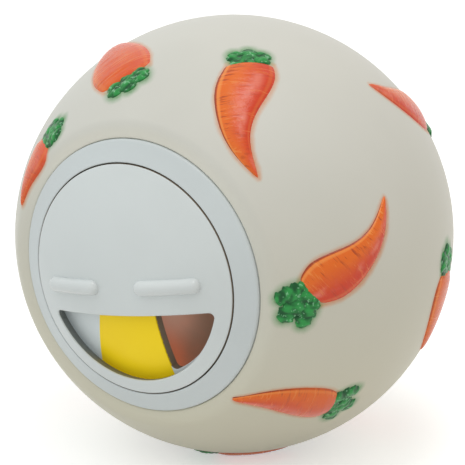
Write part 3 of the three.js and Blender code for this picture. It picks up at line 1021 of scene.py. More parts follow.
CARROTS = (
    Carrot((42.3, 64.8), (40.0, 31.0), -2.9, 9.0, 0.8, 0.38, 3.4, 16),
    Carrot((51.9, 1.8), (77.4, 22.2), -2.6, 8.1, 0.64, 0.38, 6.0, 34),
    Carrot((65.0, -33.5), (33.0, -28.2), -1.4, 7.3, 0.7, 0.6, 5.0, 62, 24),
    Carrot((-21.0, 54.6), (-84.0, 53.5), 0.4, 10.4, 0.84, 0.5, 3.4, 14),
    Carrot((-41.0, 30.0), (-42.5, 12.0), -0.5, 7.0, 0.66, 0.5, 4.8, 20, 12),
    Carrot((129.0, 32.0), (100.5, 50.0), 1.2, 8.0, 0.7, 0.5, 3.4, 30),
    Carrot((104.5, -4.0), (104.0, -27.0), -1.3, 7.6, 0.66, 0.5, 4.4, 15),
    Carrot((13.5, -75.2), (88.7, -69.2), 0.6, 6.6, 0.7, 0.5, 4.0, 30),
    Carrot((-67.0, -16.0), (-66.0, 14.0), 1.0, 8.0, 0.74, 0.42, 4.6, 34),
    Carrot((-109.0, 55.0), (-130.0, 28.0), -1.6, 8.2, 0.66, 0.45, 5.0, 40, 8),
    Carrot((137.0, -8.0), (150.0, 24.0), -2.4, 8.6, 0.76, 0.4, 3.8, 20),
    Carrot((168.0, 44.0), (230.0, 66.0), 1.6, 8.0, 0.68, 0.5, 5.4, 36, -8),
    Carrot((-138.0, 2.0), (-160.0, -26.0), -2.2, 8.8, 0.66, 0.4, 5.6, 34),
    Carrot((128.0, -42.0), (160.0, -60.0), 1.2, 7.6, 0.72, 0.55, 4.6, 50, 16),
    Carrot((-104.0, -24.0), (-84.0, -50.0), 1.8, 8.0, 0.7, 0.45, 4.8, 30),
    Carrot((-175.0, -52.0), (-140.0, -60.0), -1.0, 7.2, 0.74, 0.55, 4.2, 26),
    Carrot((178.0, -14.0), (-172.0, 14.0), 2.0, 8.0, 0.66, 0.42, 5.2, 38),
)


@dataclass(frozen=True)
class Leaf:
    """One lobe of a tuft: place across the crown, share of the tuft's length, half width."""

    place: float
    reach: float
    half: float

    def line(self, carrot: Carrot) -> tuple[Array, Array, float]:
        """Where the lobe runs on a carrot.

        The foot is shifted across the crown by place, and the heading turned from the way back
        by lean + place times fan.

        Args:
            carrot: the carrot whose tuft it belongs to.

        Returns:
            The unit vectors of foot and heading, and the length.
        """
        out, along, across = carrot.axes
        crown = float(carrot.half_width(np.zeros(1))[0])
        shift = self.place * TUFT_SPREAD * crown / BALL.radius
        turn = math.radians(carrot.lean + self.place * carrot.fan)
        heading = swung(turn, -along, swung(shift, across, -out))
        return swung(shift, out, across), heading, carrot.tuft * self.reach


TUFT_SPREAD = 0.75
LEAVES = (
    Leaf(-0.62, 0.82, 1.3),
    Leaf(0.03, 1.0, 1.5),
    Leaf(0.64, 0.78, 1.3),
)


def on_ball(base: Array, across: Array, side: Array, rise: Array) -> Array:
    """Points beside a line on the ball.

    A point lies at radius + rise, turned from the unit vector base towards across by side.

    Args:
        base: unit vectors (..., 3) along the line.
        across: unit vector square to the line.
        side: distances to the side, in millimetres.
        rise: heights above the ball.

    Returns:
        Array (..., 3) in the row's frame.
    """
    spot = swung(side / BALL.radius, base, across)
    return BALL_CENTRE + spot * (BALL.radius + np.asarray(rise))[..., None]


@dataclass(frozen=True)
class CarrotRelief:
    """The painted carrots that stand out of the ball, each a root and a tuft of leaves."""

    height: float = 0.66
    leaf_height: float = 0.5
    leaf_swell: float = 1.2
    sunk: float = 0.4
    least: float = 0.02
    rows: int = 150
    leaf_rows: int = 56
    arch: int = 40
    foot: int = 6
    # Unit vector of the side away from the light: the overspray drifts to it, and the root paint
    # puts red airbrush, painted shade and a painted sheen there.
    side_away_from_light: Triple = (0.55, 0.364, -0.75)

    def _arch(self) -> tuple[Array, Array]:
        """Sideways share and rise share round one section: an arch over a sunk flat foot.

        Returns:
            Two arrays over one section's points.
        """
        top = np.linspace(math.pi, 0.0, self.arch)
        foot = np.linspace(0.0, math.pi, self.foot + 2)[1:-1]
        side = np.concatenate([np.cos(top), np.cos(foot)])
        rise = np.concatenate([np.power(np.sin(top), 0.75), np.full(self.foot, -1.0)])
        return side, rise

    def _lift(self, share: Array, tall: Array) -> Array:
        """Height from the rise share: positive shares scale by tall, the foot lies sunk."""
        return np.where(share >= 0.0, share * (tall + self.sunk) - self.sunk, -self.sunk)

    def root(self, carrot: Carrot, seed: float) -> Surface:
        """The root: sections of the arch on the bent centre line.

        Nose closes width and height like a quarter ellipse over the first twentieth. The height
        grows from 0.6 at the crown and falls to the tip as sqrt(1 - share^4). Shallow cross
        grooves lie where two sines of the way and the side add up high, and only in patches.

        Args:
            carrot: the carrot's place and form.
            seed: a number that makes its grooves its own.

        Returns:
            The closed surface with the values way, across, seed and a side value that grows away
            from the light.
        """
        out, along, across = carrot.axes
        share = crowded(self.rows)
        nose = np.power(1.0 - np.power(1.0 - np.minimum(share / 0.05, 1.0), 3.0), 0.45)
        half = carrot.half_width(share) * nose + self.least
        tall = self.height * np.minimum(1.0, 0.6 + 3.0 * share) * nose
        tall = tall * np.sqrt(1.0 - np.power(share, 4.0)) + self.least
        side, rise = self._arch()
        way = share * carrot.length
        base = swung(way / BALL.radius, out, along)
        shift = carrot.centre(share)[:, None] + half[:, None] * side
        wave = np.sin(way * 8.1 + seed)[:, None] + 0.8 * np.sin(
            way[:, None] * 5.3 + 2.2 * side + 2.0 * seed
        )
        patches = np.sin(way * 1.3 + 3.1 * seed)[:, None] + 1.2 * np.cos(2.4 * side + seed)
        groove = -0.06 * smooth(0.9, 1.7, wave) * smooth(0.2, 1.1, patches)
        crest = np.clip(rise, 0.0, 1.0)
        lift = self._lift(rise[None, :], tall[:, None]) + groove * crest
        rings = on_ball(base[:, None, :], across, shift, lift)
        slope = np.gradient(carrot.centre(share), way)[:, None]
        outwards = across[None, None, :] - slope[..., None] * along
        # Side value: positive on the side away from the light, where the root paint lays red,
        # painted shade and a painted sheen; negative towards the light.
        away_from_light = np.einsum("ijk,k->ij", unit(outwards), np.array(self.side_away_from_light)) * side
        grid = np.ones_like(shift)
        values = {
            "way": way[:, None] * grid,
            "across": side[None, :] * grid,
            "away_from_light": away_from_light,
            "seed": seed * grid,
        }
        ends = np.array([-self.least, carrot.length + self.least]) / BALL.radius
        poles = on_ball(swung(ends, out, along), across, np.zeros(2), -0.1)
        return tube(rings, poles[0], poles[1], values)

    def tuft(self, carrot: Carrot, seed: float) -> Surface:
        """The leaves: lobes that fan out behind the crown, lumpy like parsley.

        A lobe's half width and height follow a round bud along it; three sines of the way and
        the side, the way itself bent by a fourth, lump it.

        Args:
            carrot: the carrot whose tuft it is.
            seed: a number that makes its lumps its own.

        Returns:
            The closed lobes as one surface with the value lump.
        """
        made: Surface | None = None
        side, rise = self._arch()
        q = crowded(self.leaf_rows)
        bud = np.sqrt(1.0 - np.square(2.0 * q - 1.0))
        for number, leaf in enumerate(LEAVES):
            foot, heading, reach = leaf.line(carrot)
            square = np.cross(foot, heading)
            way = reach * (1.2 * q - 0.2)
            phase = seed * 1.7 + number * 2.1
            ripple = 0.13 * np.sin(way * 4.2 + phase) + 0.06 * np.sin(way * 9.7 + 2 * phase)
            half = self.leaf_swell * leaf.half * np.power(bud, 0.6) * (1.0 + ripple)
            bent = way[:, None] + 0.35 * np.sin(2.3 * side + phase)
            lump = 0.5 + 0.21 * (
                np.sin(bent * 2.4 + 1.9 * side + phase)
                + np.sin(bent * 3.3 - 2.6 * side + 1.9 * phase)
                + 0.5 * np.sin(bent * 7.3 + 5.2 * side + 0.7 * phase)
            )
            tall = self.leaf_height * np.power(bud, 0.6)[:, None] * (0.62 + 0.55 * lump)
            base = swung(way / BALL.radius, foot, heading)[:, None, :]
            lift = self._lift(rise[None, :], tall)
            rings = on_ball(base, square, half[:, None] * side, lift)
            tips = swung(np.array([-0.2, 1.0]) * reach / BALL.radius, foot, heading)
            poles = on_ball(tips, square, np.zeros(2), -0.2)
            lobe = tube(rings, poles[0], poles[1], {"lump": lump * np.clip(rise, 0.0, 1.0)})
            made = lobe if made is None else made.joined(lobe)
        return made

    def build(self, finishes: Finishes) -> None:
        """Makes every carrot's root and tuft and sets them on the housing.

        Args:
            finishes: the materials.
        """
        for number, carrot in enumerate(CARROTS, start=1):
            seed = 1.37 * number
            for name, form, look in (
                ("root", self.root, finishes.root), ("tuft", self.tuft, finishes.leaf),
            ):
                skin = form(carrot, seed)
                piece = skin.piece(f"carrot_{name}_{number:02d}", [look], SOFT_SHARP)
                settle(piece, Body.HOUSING, Slot.VINYL)


def root_outline(carrot: Carrot) -> Array:
    """Points on a root's crown and flanks on the ball, dense enough to measure gaps from.

    Args:
        carrot: the carrot.

    Returns:
        Array (n, 3).
    """
    out, along, across = carrot.axes
    share = np.linspace(0.0, 0.995, 90)
    base = swung(share * carrot.length / BALL.radius, out, along)
    half, centre = carrot.half_width(share) * 0.955, carrot.centre(share)
    front = on_ball(base[:1], across, np.linspace(-0.9, 0.9, 14) * half[0], 0.0)
    flanks = [on_ball(base, across, centre + sign * half, 0.0) for sign in (-1, 1)]
    return np.concatenate([front, *flanks])


def leaf_outline(carrot: Carrot) -> Array:
    """Points on the centre lines of a tuft's lobes; the fourth value is the half width there.

    Args:
        carrot: the carrot.

    Returns:
        Array (n, 4).
    """
    count = 16
    bud = np.clip(1.0 - np.square(np.linspace(-1.0, 1.0, count)), 0.02, 1.0)
    rows = []
    for leaf in LEAVES:
        foot, heading, reach = leaf.line(carrot)
        angle = reach * np.linspace(-0.1, 0.92, count) / BALL.radius
        spots = BALL_CENTRE + swung(angle, foot, heading) * BALL.radius
        half = leaf.half * np.power(bud, 0.35)
        rows.append(np.concatenate([spots, half[:, None]], axis=1))
    return np.concatenate(rows)


@dataclass(frozen=True)
class BallSkin:
    """The hollow ball: outer sphere, shoulder, seat, lip and chamber in one closed skin.

    Drifts are how far overspray is blown to the side away from the light. The seep and side
    values place the warm part of the chamber, the glow values its bright spot, and the rim
    values a painted highlight on the vinyl above the lid, on its upper side.
    """

    around: int = 400
    outer_steps: int = 176
    chamber_steps: int = 44
    pole_gaps: Pair = (0.5, 2.0)
    under_flange: float = 0.02
    step: float = 0.1
    lip_bevel: float = 0.2
    far: float = 3.0
    corner: float = 0.35
    drifts: tuple[float, ...] = (0.05, 0.2, 0.35)
    seep_way: Pair = (-56.5, 0.0)
    cool_side: float = 4.0
    warm_side: float = 12.0
    glow_spot: Pair = (-122.0, -41.0)
    glow_reach: float = 4.5
    glow_share: float = 0.7
    # Reach from the land's edge and rise round the lid over which the painted highlight spreads.
    rim_highlight_reach: Pair = (0.5, 2.6)
    rim_highlight_rise: Pair = (0.1, 0.95)

    def profile(self) -> tuple[Array, int]:
        """Distance and height from the back pole over the outside to the chamber's pole.

        The sphere rolls over to a narrow flat land beside the lid, which drops to the seat.

        Returns:
            The profile and the number of its points that lie outside the chamber.
        """
        tangent = math.degrees(BALL.roll_angle)
        lip_under = BALL.seat - BALL.wall
        lip_edge = math.degrees(math.asin(lip_under / BALL.inner))
        flange = BALL.seat + LID.gap - self.under_flange
        outer_pole, chamber_pole = (gap - 90.0 for gap in self.pole_gaps)
        outer = arc((0, 0), BALL.radius, outer_pole, tangent, self.outer_steps)
        roll = arc(BALL.roll_centre, BALL.roll, tangent, 90, 10)[1:]
        land = BALL.roll_centre[1] + BALL.roll
        corner_at = (BALL.land_edge + self.corner, land - self.corner)
        corner = arc(corner_at, self.corner, 90, 180, 6)
        shoulder = np.concatenate([roll, corner, [[BALL.land_edge, flange + self.step]]])
        seat = np.array([[BALL.land_edge - self.step, flange], [BALL.bore, flange]])
        lip = np.array([[BALL.bore, BALL.seat - self.lip_bevel], [BALL.bore, lip_under]])
        chamber = arc((0, 0), BALL.inner, lip_edge, chamber_pole, self.chamber_steps)
        outside = np.concatenate([outer, shoulder, seat, lip])
        return np.concatenate([outside, chamber]), len(outside)

    def gaps(self, points: Array) -> tuple[Array, Array]:
        """Distance of each point to the nearest root outline and to the nearest leaf.

        Distances are measured straight to the outlines' points and cut off at far.

        Args:
            points: array (n, 3) on the ball.

        Returns:
            Two arrays of n distances.
        """
        root_gap = np.full(len(points), self.far)
        leaf_gap = np.full(len(points), self.far)
        away_from_light = np.array(CarrotRelief.side_away_from_light)
        for carrot in CARROTS:
            outline = root_outline(carrot)
            middle = outline.mean(axis=0)
            reach = np.linalg.norm(outline - middle, axis=1).max() + carrot.tuft + 2 * self.far
            near = np.flatnonzero(np.linalg.norm(points - middle, axis=1) < reach)
            spots = points[near]
            shifted = np.concatenate([outline + away_from_light * drift for drift in self.drifts])
            root = np.linalg.norm(spots[:, None] - shifted[None], axis=2).min(axis=1)
            leaves = leaf_outline(carrot)
            leaf = np.linalg.norm(spots[:, None] - leaves[None, :, :3], axis=2) - leaves[:, 3]
            root_gap[near] = np.minimum(root_gap[near], root)
            leaf_gap[near] = np.minimum(leaf_gap[near], np.maximum(leaf.min(axis=1), 0.0))
        return root_gap, leaf_gap

    def build(self, finishes: Finishes) -> None:
        """Makes the skin, marks the chamber's faces and replaces the shell's node.

        Args:
            finishes: the materials.
        """
        profile, outside = self.profile()
        rings = lathe_rings(profile, self.around)
        root_gap, leaf_gap = self.gaps(rings[:outside].reshape(-1, 3))
        inner = np.full((len(profile) - outside, self.around), self.far)
        shape = (outside, self.around)
        spots = rings - BALL_CENTRE
        span = smooth(self.cool_side, self.warm_side, spots @ direction(*self.seep_way))
        seep = direction(*self.glow_spot) * BALL.inner
        glow = np.exp(-np.square(np.linalg.norm(spots - seep, axis=-1) / self.glow_reach))
        # Painted highlight close round the lid, on its upper side only: the rim value.
        beside = profile[:, 0] - BALL.land_edge
        front = (np.arange(len(profile)) < outside) & (profile[:, 1] > 0.0)
        rise = spots[..., 2] / np.hypot(spots[..., 0], spots[..., 2])
        rim = np.where(front, 1.0 - smooth(*self.rim_highlight_reach, beside), 0.0)
        values = {
            "root_gap": np.concatenate([root_gap.reshape(shape), inner]),
            "leaf_gap": np.concatenate([leaf_gap.reshape(shape), inner]),
            "rim": rim[:, None] * smooth(*self.rim_highlight_rise, rise),
            "warmth": span,
            "glow": glow * self.glow_share,
        }
        back = lid_to_row(np.array([0.0, 0.0, -BALL.radius]))
        chamber = lid_to_row(np.array([0.0, 0.0, -BALL.inner]))
        skin = tube(rings, back, chamber, values)
        ring_of_quad = np.repeat(np.arange(len(profile) - 1), self.around)
        quad_slots = (ring_of_quad >= outside - 1).astype(int)
        fan = np.repeat([0, 1], self.around)
        skin.slots = np.concatenate([quad_slots, fan])
        piece = skin.piece("ball_skin", [finishes.vinyl, finishes.lining], BALL_SHARP)
        settle(piece, Body.HOUSING, Slot.VINYL, "ball_shell")


# The lid


@dataclass(frozen=True)
class BezelRing:
    """The ring that snaps into the ball and frames the dial."""

    bead: float = 20.9
    neck_reach: float = 2.0
    ledge: float = 16.6
    ledge_thickness: float = 0.9
    running_gap: float = 0.19
    lead_in: float = 0.25
    bead_flat: float = 0.25
    inner_fillet: float = 0.16
    around: int = 360

    def build(self, finishes: Finishes) -> None:
        """Turns the rounded profile of flange, neck, bead and ledge round the axis.

        Args:
            finishes: the materials.
        """
        bore = LID.dial + self.running_gap
        under = BALL.seat - BALL.wall
        bead_top = under - LID.gap
        flange = BALL.seat + LID.gap
        ledge_top = float(LID.height(LID.plate_dome - LID.plate_thickness, LID.plate)) - LID.gap
        ledge_under = ledge_top - self.ledge_thickness
        low = under - self.neck_reach
        top_out = float(LID.height(LID.dome, LID.bezel))
        top_in = float(LID.height(LID.dome, bore))
        profile = rounded([
            (LID.neck - self.lead_in, low, 0.15),
            (self.bead, bead_top - 2 * self.bead_flat, 0.2),
            (self.bead, bead_top - self.bead_flat, 0.08),
            (LID.neck, bead_top, 0.0),
            (LID.neck, flange, 0.0),
            (LID.bezel, flange, 0.12),
            (LID.bezel, top_out, 0.55),
            (bore, top_in, self.inner_fillet),
            (bore, ledge_top, 0.0),
            (self.ledge, ledge_top, 0.1),
            (self.ledge, ledge_under, 0.1),
            (bore, ledge_under, 0.0),
            (bore, low, 0.1),
        ], steps=6)
        surface = loop_skin(lathe_rings(profile, self.around))
        middle = (profile + np.roll(profile, -1, axis=0)) / 2
        on_wall = np.abs(middle[:, 0] - bore) < 0.02
        recess = on_wall & (middle[:, 1] < top_in - self.inner_fillet)
        surface.slots = np.repeat(recess.astype(int), self.around)
        piece = surface.piece("bezel_ring", [finishes.ring, finishes.recess])
        settle(piece, Body.HOUSING, Slot.LID, "lid_bezel")


def half_moon(
    radius: float, chord: float, corner: float, turn: float, spacing: float
) -> tuple[Array, Array]:
    """Outline of the part of a disc below a chord, with rounded corners.

    Args:
        radius: the disc's radius.
        chord: distance of the chord below the centre.
        corner: radius of the corners.
        turn: angle in radians by which the outline is swung round the centre.
        spacing: rough distance between points.

    Returns:
        The outline's points and its unit normals, which point away from the half-moon.
    """
    inner = radius - corner
    corner_x = math.sqrt(inner ** 2 - (chord + corner) ** 2)
    lean = math.degrees(math.atan2(chord + corner, corner_x))
    centre_y = -chord - corner
    bow = max(8, int(math.radians(90 + lean) * corner / spacing * 2))
    rim = int(math.radians(180 - 2 * lean) * radius / spacing)
    flat = int(2 * corner_x / spacing)
    right = arc((corner_x, centre_y), corner, 90, -lean, bow)
    low = arc((0, 0), radius, -lean, lean - 180, rim)
    left = arc((-corner_x, centre_y), corner, lean - 180, -270, bow)
    chord_x = np.linspace(-corner_x, corner_x, flat + 1)
    edge = np.stack([chord_x, np.full(flat + 1, -chord)], axis=-1)
    parts = [right[:-1], low[:-1], left[:-1], edge[:-1]]
    centres = [(corner_x, centre_y), (0, 0), (-corner_x, centre_y)]
    normals = [unit(part - np.array(centre)) for part, centre in zip(parts, centres)]
    normals.append(np.tile([0.0, 1.0], (flat, 1)))
    cos, sin = math.cos(turn), math.sin(turn)
    swing = np.array([[cos, sin], [-sin, cos]])
    return np.concatenate(parts) @ swing, np.concatenate(normals) @ swing


@dataclass(frozen=True)
class PiercedDome:
    """A domed disc pierced by one half-moon, with rounded edges."""

    radius: float
    top: float
    under: float
    hole_radius: float
    chord: float
    turn: float
    hole_fillet: float
    rim_fillet: float
    corner: float = 0.7
    rows: int = 44
    under_rows: int = 14
    spacing: float = 0.14
    band: float = 0.12
    bend_steps: int = 6
    wall_levels: Pair = (0.35, 0.6)
    undercut: float = 0.0
    rim_slot: int = 0

    def surface(self) -> Surface:
        """The disc's closed skin.

        Every station goes all round the hole: up the hole's wall, over its rounded edge, across
        the dome to the rim, down the rim and back below. Outside the edge bands, a point lies on
        the line from the hole's edge to where the ray from the half-moon's middle meets the rim.
        Heights are those of the domes, less the drop of the rounding.

        Returns:
            The closed surface in the row's frame.
        """
        hole, normal = half_moon(
            self.hole_radius, self.chord, self.corner, self.turn, self.spacing
        )
        middle = hole.mean(axis=0)
        f, g = self.hole_fillet, self.rim_fillet
        near = hole + normal * f
        ray = unit(near - middle)
        lean = ray @ middle
        inner = (self.radius - g) ** 2 - middle @ middle
        far = middle + ray * (np.sqrt(lean ** 2 + inner) - lean)[:, None]
        radial = unit(far)
        angles = np.linspace(0.0, math.pi / 2, self.bend_steps + 1)
        bend = [(math.cos(angle), math.sin(angle)) for angle in angles]
        low_wall, high_wall = ((self.top - self.under) * level for level in self.wall_levels)
        back, rim = hole + normal * self.undercut, radial * self.radius
        low_near, low_far = back + normal * self.band, rim - radial * self.band
        across = np.linspace(0.0, 1.0, self.rows)[1:-1] ** 1.15
        homeward = np.linspace(1.0, 0.0, self.under_rows)[1:-1]
        wall = [(back, -self.band), (back, -low_wall), (hole, -high_wall)]
        above = [(hole + normal * f * (1 - cos), f * (1 - sin)) for cos, sin in bend]
        above += [(near + (far - near) * share, 0.0) for share in across]
        above += [(far + radial * g * cos, g * (1 - sin)) for cos, sin in bend[::-1]]
        below = [(rim, -high_wall), (rim, -self.band), (low_far, 0.0)]
        below += [(low_near + (low_far - low_near) * share, 0.0) for share in homeward]
        below += [(low_near, 0.0)]
        stations = wall + above + below
        flags = np.zeros(len(stations), int)
        flags[[0, 1, 2, -1]] = 1
        edge = len(wall) + len(above) - 1
        flags[edge:edge + 2] = self.rim_slot
        plan = np.stack([spot for spot, _ in stations])
        drop = np.array([lower for _, lower in stations])[:, None]
        dome = np.full(len(stations), self.under)
        dome[len(wall):len(wall) + len(above)] = self.top
        height = LID.height(dome[:, None], np.linalg.norm(plan, axis=-1)) - drop
        skin = loop_skin(lid_to_row(np.concatenate([plan, height[..., None]], axis=-1)))
        skin.slots = np.repeat(flags, len(hole))
        return skin


@dataclass(frozen=True)
class TurningDial:
    """The dial: a domed disc with the half-moon window, two grips and a boss."""

    window: float = 15.7
    chord: float = 4.7
    grip_length: float = 10.8
    grip_width: float = 2.2
    grip_height: float = 1.25
    grip_centres: Pair = (-9.15, 8.6)
    grip_drop: float = 0.25
    grip_rows: int = 120
    grip_arch: int = 40
    boss: float = 2.6
    pilot: float = 1.35
    boss_end: float = 26.0

    def grip(self, centre: float) -> Surface:
        """One grip: an arch over a stadium plan that follows the dome.

        The half width closes as a circle at both ends and the height as a quarter ellipse; a
        low skirt eases the foot into the dial.

        Args:
            centre: place of the grip's middle along the lid's x.

        Returns:
            The closed surface in the row's frame.
        """
        half = self.grip_width / 2
        x = crowded(self.grip_rows) * self.grip_length - self.grip_length / 2
        end = np.clip((self.grip_length / 2 - np.abs(x)) / half, 0.0, 1.0)
        round_end = np.sqrt(1.0 - np.square(1.0 - end))
        top = np.linspace(math.pi, 0.0, self.grip_arch)
        under = np.cos(np.linspace(0.0, math.pi, 6))[1:-1]
        side = np.concatenate([1.1 * np.cos(top), 0.8 * under])
        bulge = np.power(np.clip(np.sin(top), 0.0, 1.0), 0.82)
        foot = 0.05 * np.exp(-np.square(np.sin(top) / 0.12))
        rise = np.concatenate([bulge - foot, np.full(len(under), -0.3)])
        wide = half * round_end[:, None] * side
        tall = self.grip_height * np.power(round_end, 0.9)[:, None]
        lift = np.where(rise[None, :] > 0, rise[None, :] * (tall + 0.2) - 0.2, -0.4)
        radius = LID.dome + lift
        along, over = (centre + x)[:, None] / LID.dome, (wide - self.grip_drop) / LID.dome
        points = np.stack(
            [
                radius * np.sin(along) * np.cos(over),
                radius * np.sin(over),
                LID.dome_centre + radius * np.cos(along) * np.cos(over),
            ],
            axis=-1,
        )
        return capped(lid_to_row(points))

    def build(self, finishes: Finishes) -> None:
        """Makes the disc, the grips and the boss and sets them on the dial's body.

        Args:
            finishes: the materials.
        """
        disc = PiercedDome(
            LID.dial, LID.dome, LID.dome - LID.dial_thickness,
            self.window, self.chord, turn=0.0, hole_fillet=0.28, rim_fillet=0.13,
            undercut=0.4, rim_slot=2,
        )
        slots = [finishes.lid, finishes.wall, finishes.recess]
        settle(disc.surface().piece("dial_disc", slots), Body.DIAL, Slot.LID, "dial")
        for name, centre in zip(("left", "right"), self.grip_centres):
            grip = self.grip(centre).piece(f"dial_grip_{name}", [finishes.grip], SOFT_SHARP)
            settle(grip, Body.DIAL, Slot.LID)
        boss = sleeve(self.pilot, self.boss, self.boss_end, 0.12,
                      LID.height(LID.dome - LID.dial_thickness, 0.0) + 0.3, 64)
        settle(boss.piece("dial_boss", [finishes.lid]), Body.DIAL, Slot.LID)


@dataclass(frozen=True)
class ShutterPlate:
    """The fixed plate behind the dial, its hub and its snap clips."""

    opening: float = 15.2
    chord: float = 4.2
    hub_hole: float = 2.9
    hub: float = 4.2
    hub_end: float = 26.3
    clip_angles: tuple[float, ...] = (45.0, 135.0, 225.0, 315.0)
    clip_face: float = 16.3
    clip_width: float = 2.6
    clip_depth: float = 1.0
    clip_top: float = 25.6
    clip_foot: float = 20.99
    barb_bite: float = 0.9
    barb_top: float = 22.29
    barb_flat: float = 0.3
    window_width: float = 2.2
    window_span: Pair = (22.0, 34.0)

    def _cutters(self) -> Surface:
        """The hub's hole and the windows above the barbs, as one skin.

        Returns:
            The closed surfaces in the row's frame.
        """
        cutter = bore_cutter(self.hub_hole, 48)
        out = self.clip_face + self.barb_bite * np.array([0.0, 1.0, 1.0, 0.0])
        side = self.window_width * np.array([-0.5, -0.5, 0.5, 0.5])
        levels = np.array(self.window_span)[:, None]
        for angle in self.clip_angles:
            cutter = cutter.joined(capped(on_ray(angle, out, side, levels)))
        return cutter

    def clip(self, angle: float) -> Surface:
        """A snap clip: a rounded section of leg and barb, a little smaller at both sides.

        Args:
            angle: where it stands round the lid's axis, in degrees.

        Returns:
            The closed surface in the row's frame.
        """
        face, inner = self.clip_face, self.clip_face - self.clip_depth
        tip = face + self.barb_bite
        section = rounded([
            (inner, self.clip_foot, 0.15),
            (face, self.clip_foot, 0.15),
            (tip, self.barb_top - self.barb_flat, 0.08),
            (tip, self.barb_top, 0.0),
            (face, self.barb_top, 0.0),
            (face, self.clip_top, 0.0),
            (inner, self.clip_top, 0.0),
        ], steps=4, guard=0.05)
        middle = section.mean(axis=0)
        swell = np.array([0.93, 1.0, 1.0, 0.93])[:, None, None]
        side = np.array([-0.5, -0.46, 0.46, 0.5])[:, None] * self.clip_width
        outline = middle + (section - middle) * swell
        return capped(on_ray(angle, outline[..., 0], side, outline[..., 1]))

    def build(self, finishes: Finishes) -> None:
        """Makes the plate with its holes, the hub and the clips.

        Args:
            finishes: the materials.
        """
        disc = PiercedDome(
            LID.plate, LID.plate_dome, LID.plate_dome - LID.plate_thickness,
            self.opening, self.chord, turn=math.pi / 2, hole_fillet=0.12, rim_fillet=0.15,
            rows=40, spacing=0.18,
        )
        piece = disc.surface().piece("plate_disc", [finishes.plate, finishes.edge])
        cut(piece, self._cutters())
        settle(piece, Body.HOUSING, Slot.PLATE, "shutter_plate")
        hub = sleeve(self.hub_hole, self.hub, self.hub_end, 0.1,
                     LID.height(LID.plate_dome - LID.plate_thickness, 0.0) + 0.4, 96)
        settle(hub.piece("plate_hub", [finishes.plate]), Body.HOUSING, Slot.PLATE)
        for number, angle in enumerate(self.clip_angles, start=1):
            clip = self.clip(angle).piece(f"plate_clip_{number}", [finishes.plate])
            settle(clip, Body.HOUSING, Slot.PLATE)


def cut(piece: Object, cutter: Surface) -> None:
    """Cuts a closed skin out of a piece and keeps the result as the piece's mesh.

    Args:
        piece: the object to cut.
        cutter: the closed skin that is taken away.
    """
    tool = cutter.piece(piece.name + "_cutter", [])
    modifier = piece.modifiers.new("holes", "BOOLEAN")
    modifier.operation = "DIFFERENCE"
    modifier.solver = "EXACT"
    modifier.object = tool
    graph = bpy.context.evaluated_depsgraph_get()
    finished = bpy.data.meshes.new_from_object(piece.evaluated_get(graph))
    piece.modifiers.clear()
    piece.data = finished
    bpy.data.objects.remove(tool)
    finished.set_sharp_from_angle(angle=math.radians(SHARP))


@dataclass(frozen=True)
class MarkerFilm:
    """The thin yellow film on the plate, up to the edge of its opening."""

    radius: float = 17.0
    right: float = 4.2
    left: float = 4.5
    flare: float = 0.38
    collar: float = 3.9
    proud: float = 0.03
    thickness: float = 0.3
    rows: int = 180
    columns: int = 60

    def build(self, finishes: Finishes) -> None:
        """Makes the film: rows across the plate between the left line and the right edge.

        Rows lie evenly between the lower and the upper corner, y = -reach to reach, where reach
        is sqrt(radius^2 - right^2). A row's ends are the left line x = -left - flare |y| or the
        rim, whichever is nearer, and the right edge or the rim. Heights follow the plate's dome.

        Args:
            finishes: the materials.
        """
        reach = math.sqrt(self.radius ** 2 - self.right ** 2)
        y = np.linspace(-reach, reach, self.rows)[:, None] * 0.999
        rim = np.sqrt(self.radius ** 2 - np.square(y))
        low = np.maximum(-self.left - self.flare * np.abs(y), -rim)
        x = low + (np.minimum(self.right, rim) - low) * np.linspace(0.0, 1.0, self.columns)
        top = LID.height(LID.plate_dome, np.hypot(x, y)) + self.proud
        upper = np.stack([x, y + 0 * x, top], axis=-1)
        lower = upper[:, ::-1] - (0.0, 0.0, self.thickness)
        film = capped(lid_to_row(np.concatenate([upper, lower], axis=1)))
        piece = film.piece("film_sheet", [finishes.film])
        cut(piece, bore_cutter(self.collar, 64))
        settle(piece, Body.HOUSING, Slot.FILM, "marker_film")


@dataclass(frozen=True)
class Fasteners:
    """The washer and the screw that hold the dial; their CAD solids stay and get a finish."""

    nodes: tuple[str, ...] = ("pivot_washer", "pivot_screw")

    def build(self, finishes: Finishes) -> None:
        """Gives the nodes their plated finish.

        Args:
            finishes: the materials.
        """
        for name in self.nodes:
            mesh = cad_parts[name].data
            mesh.materials.clear()
            mesh.materials.append(finishes.steel)
            log.info("%s keeps its solid", name)


# The studio


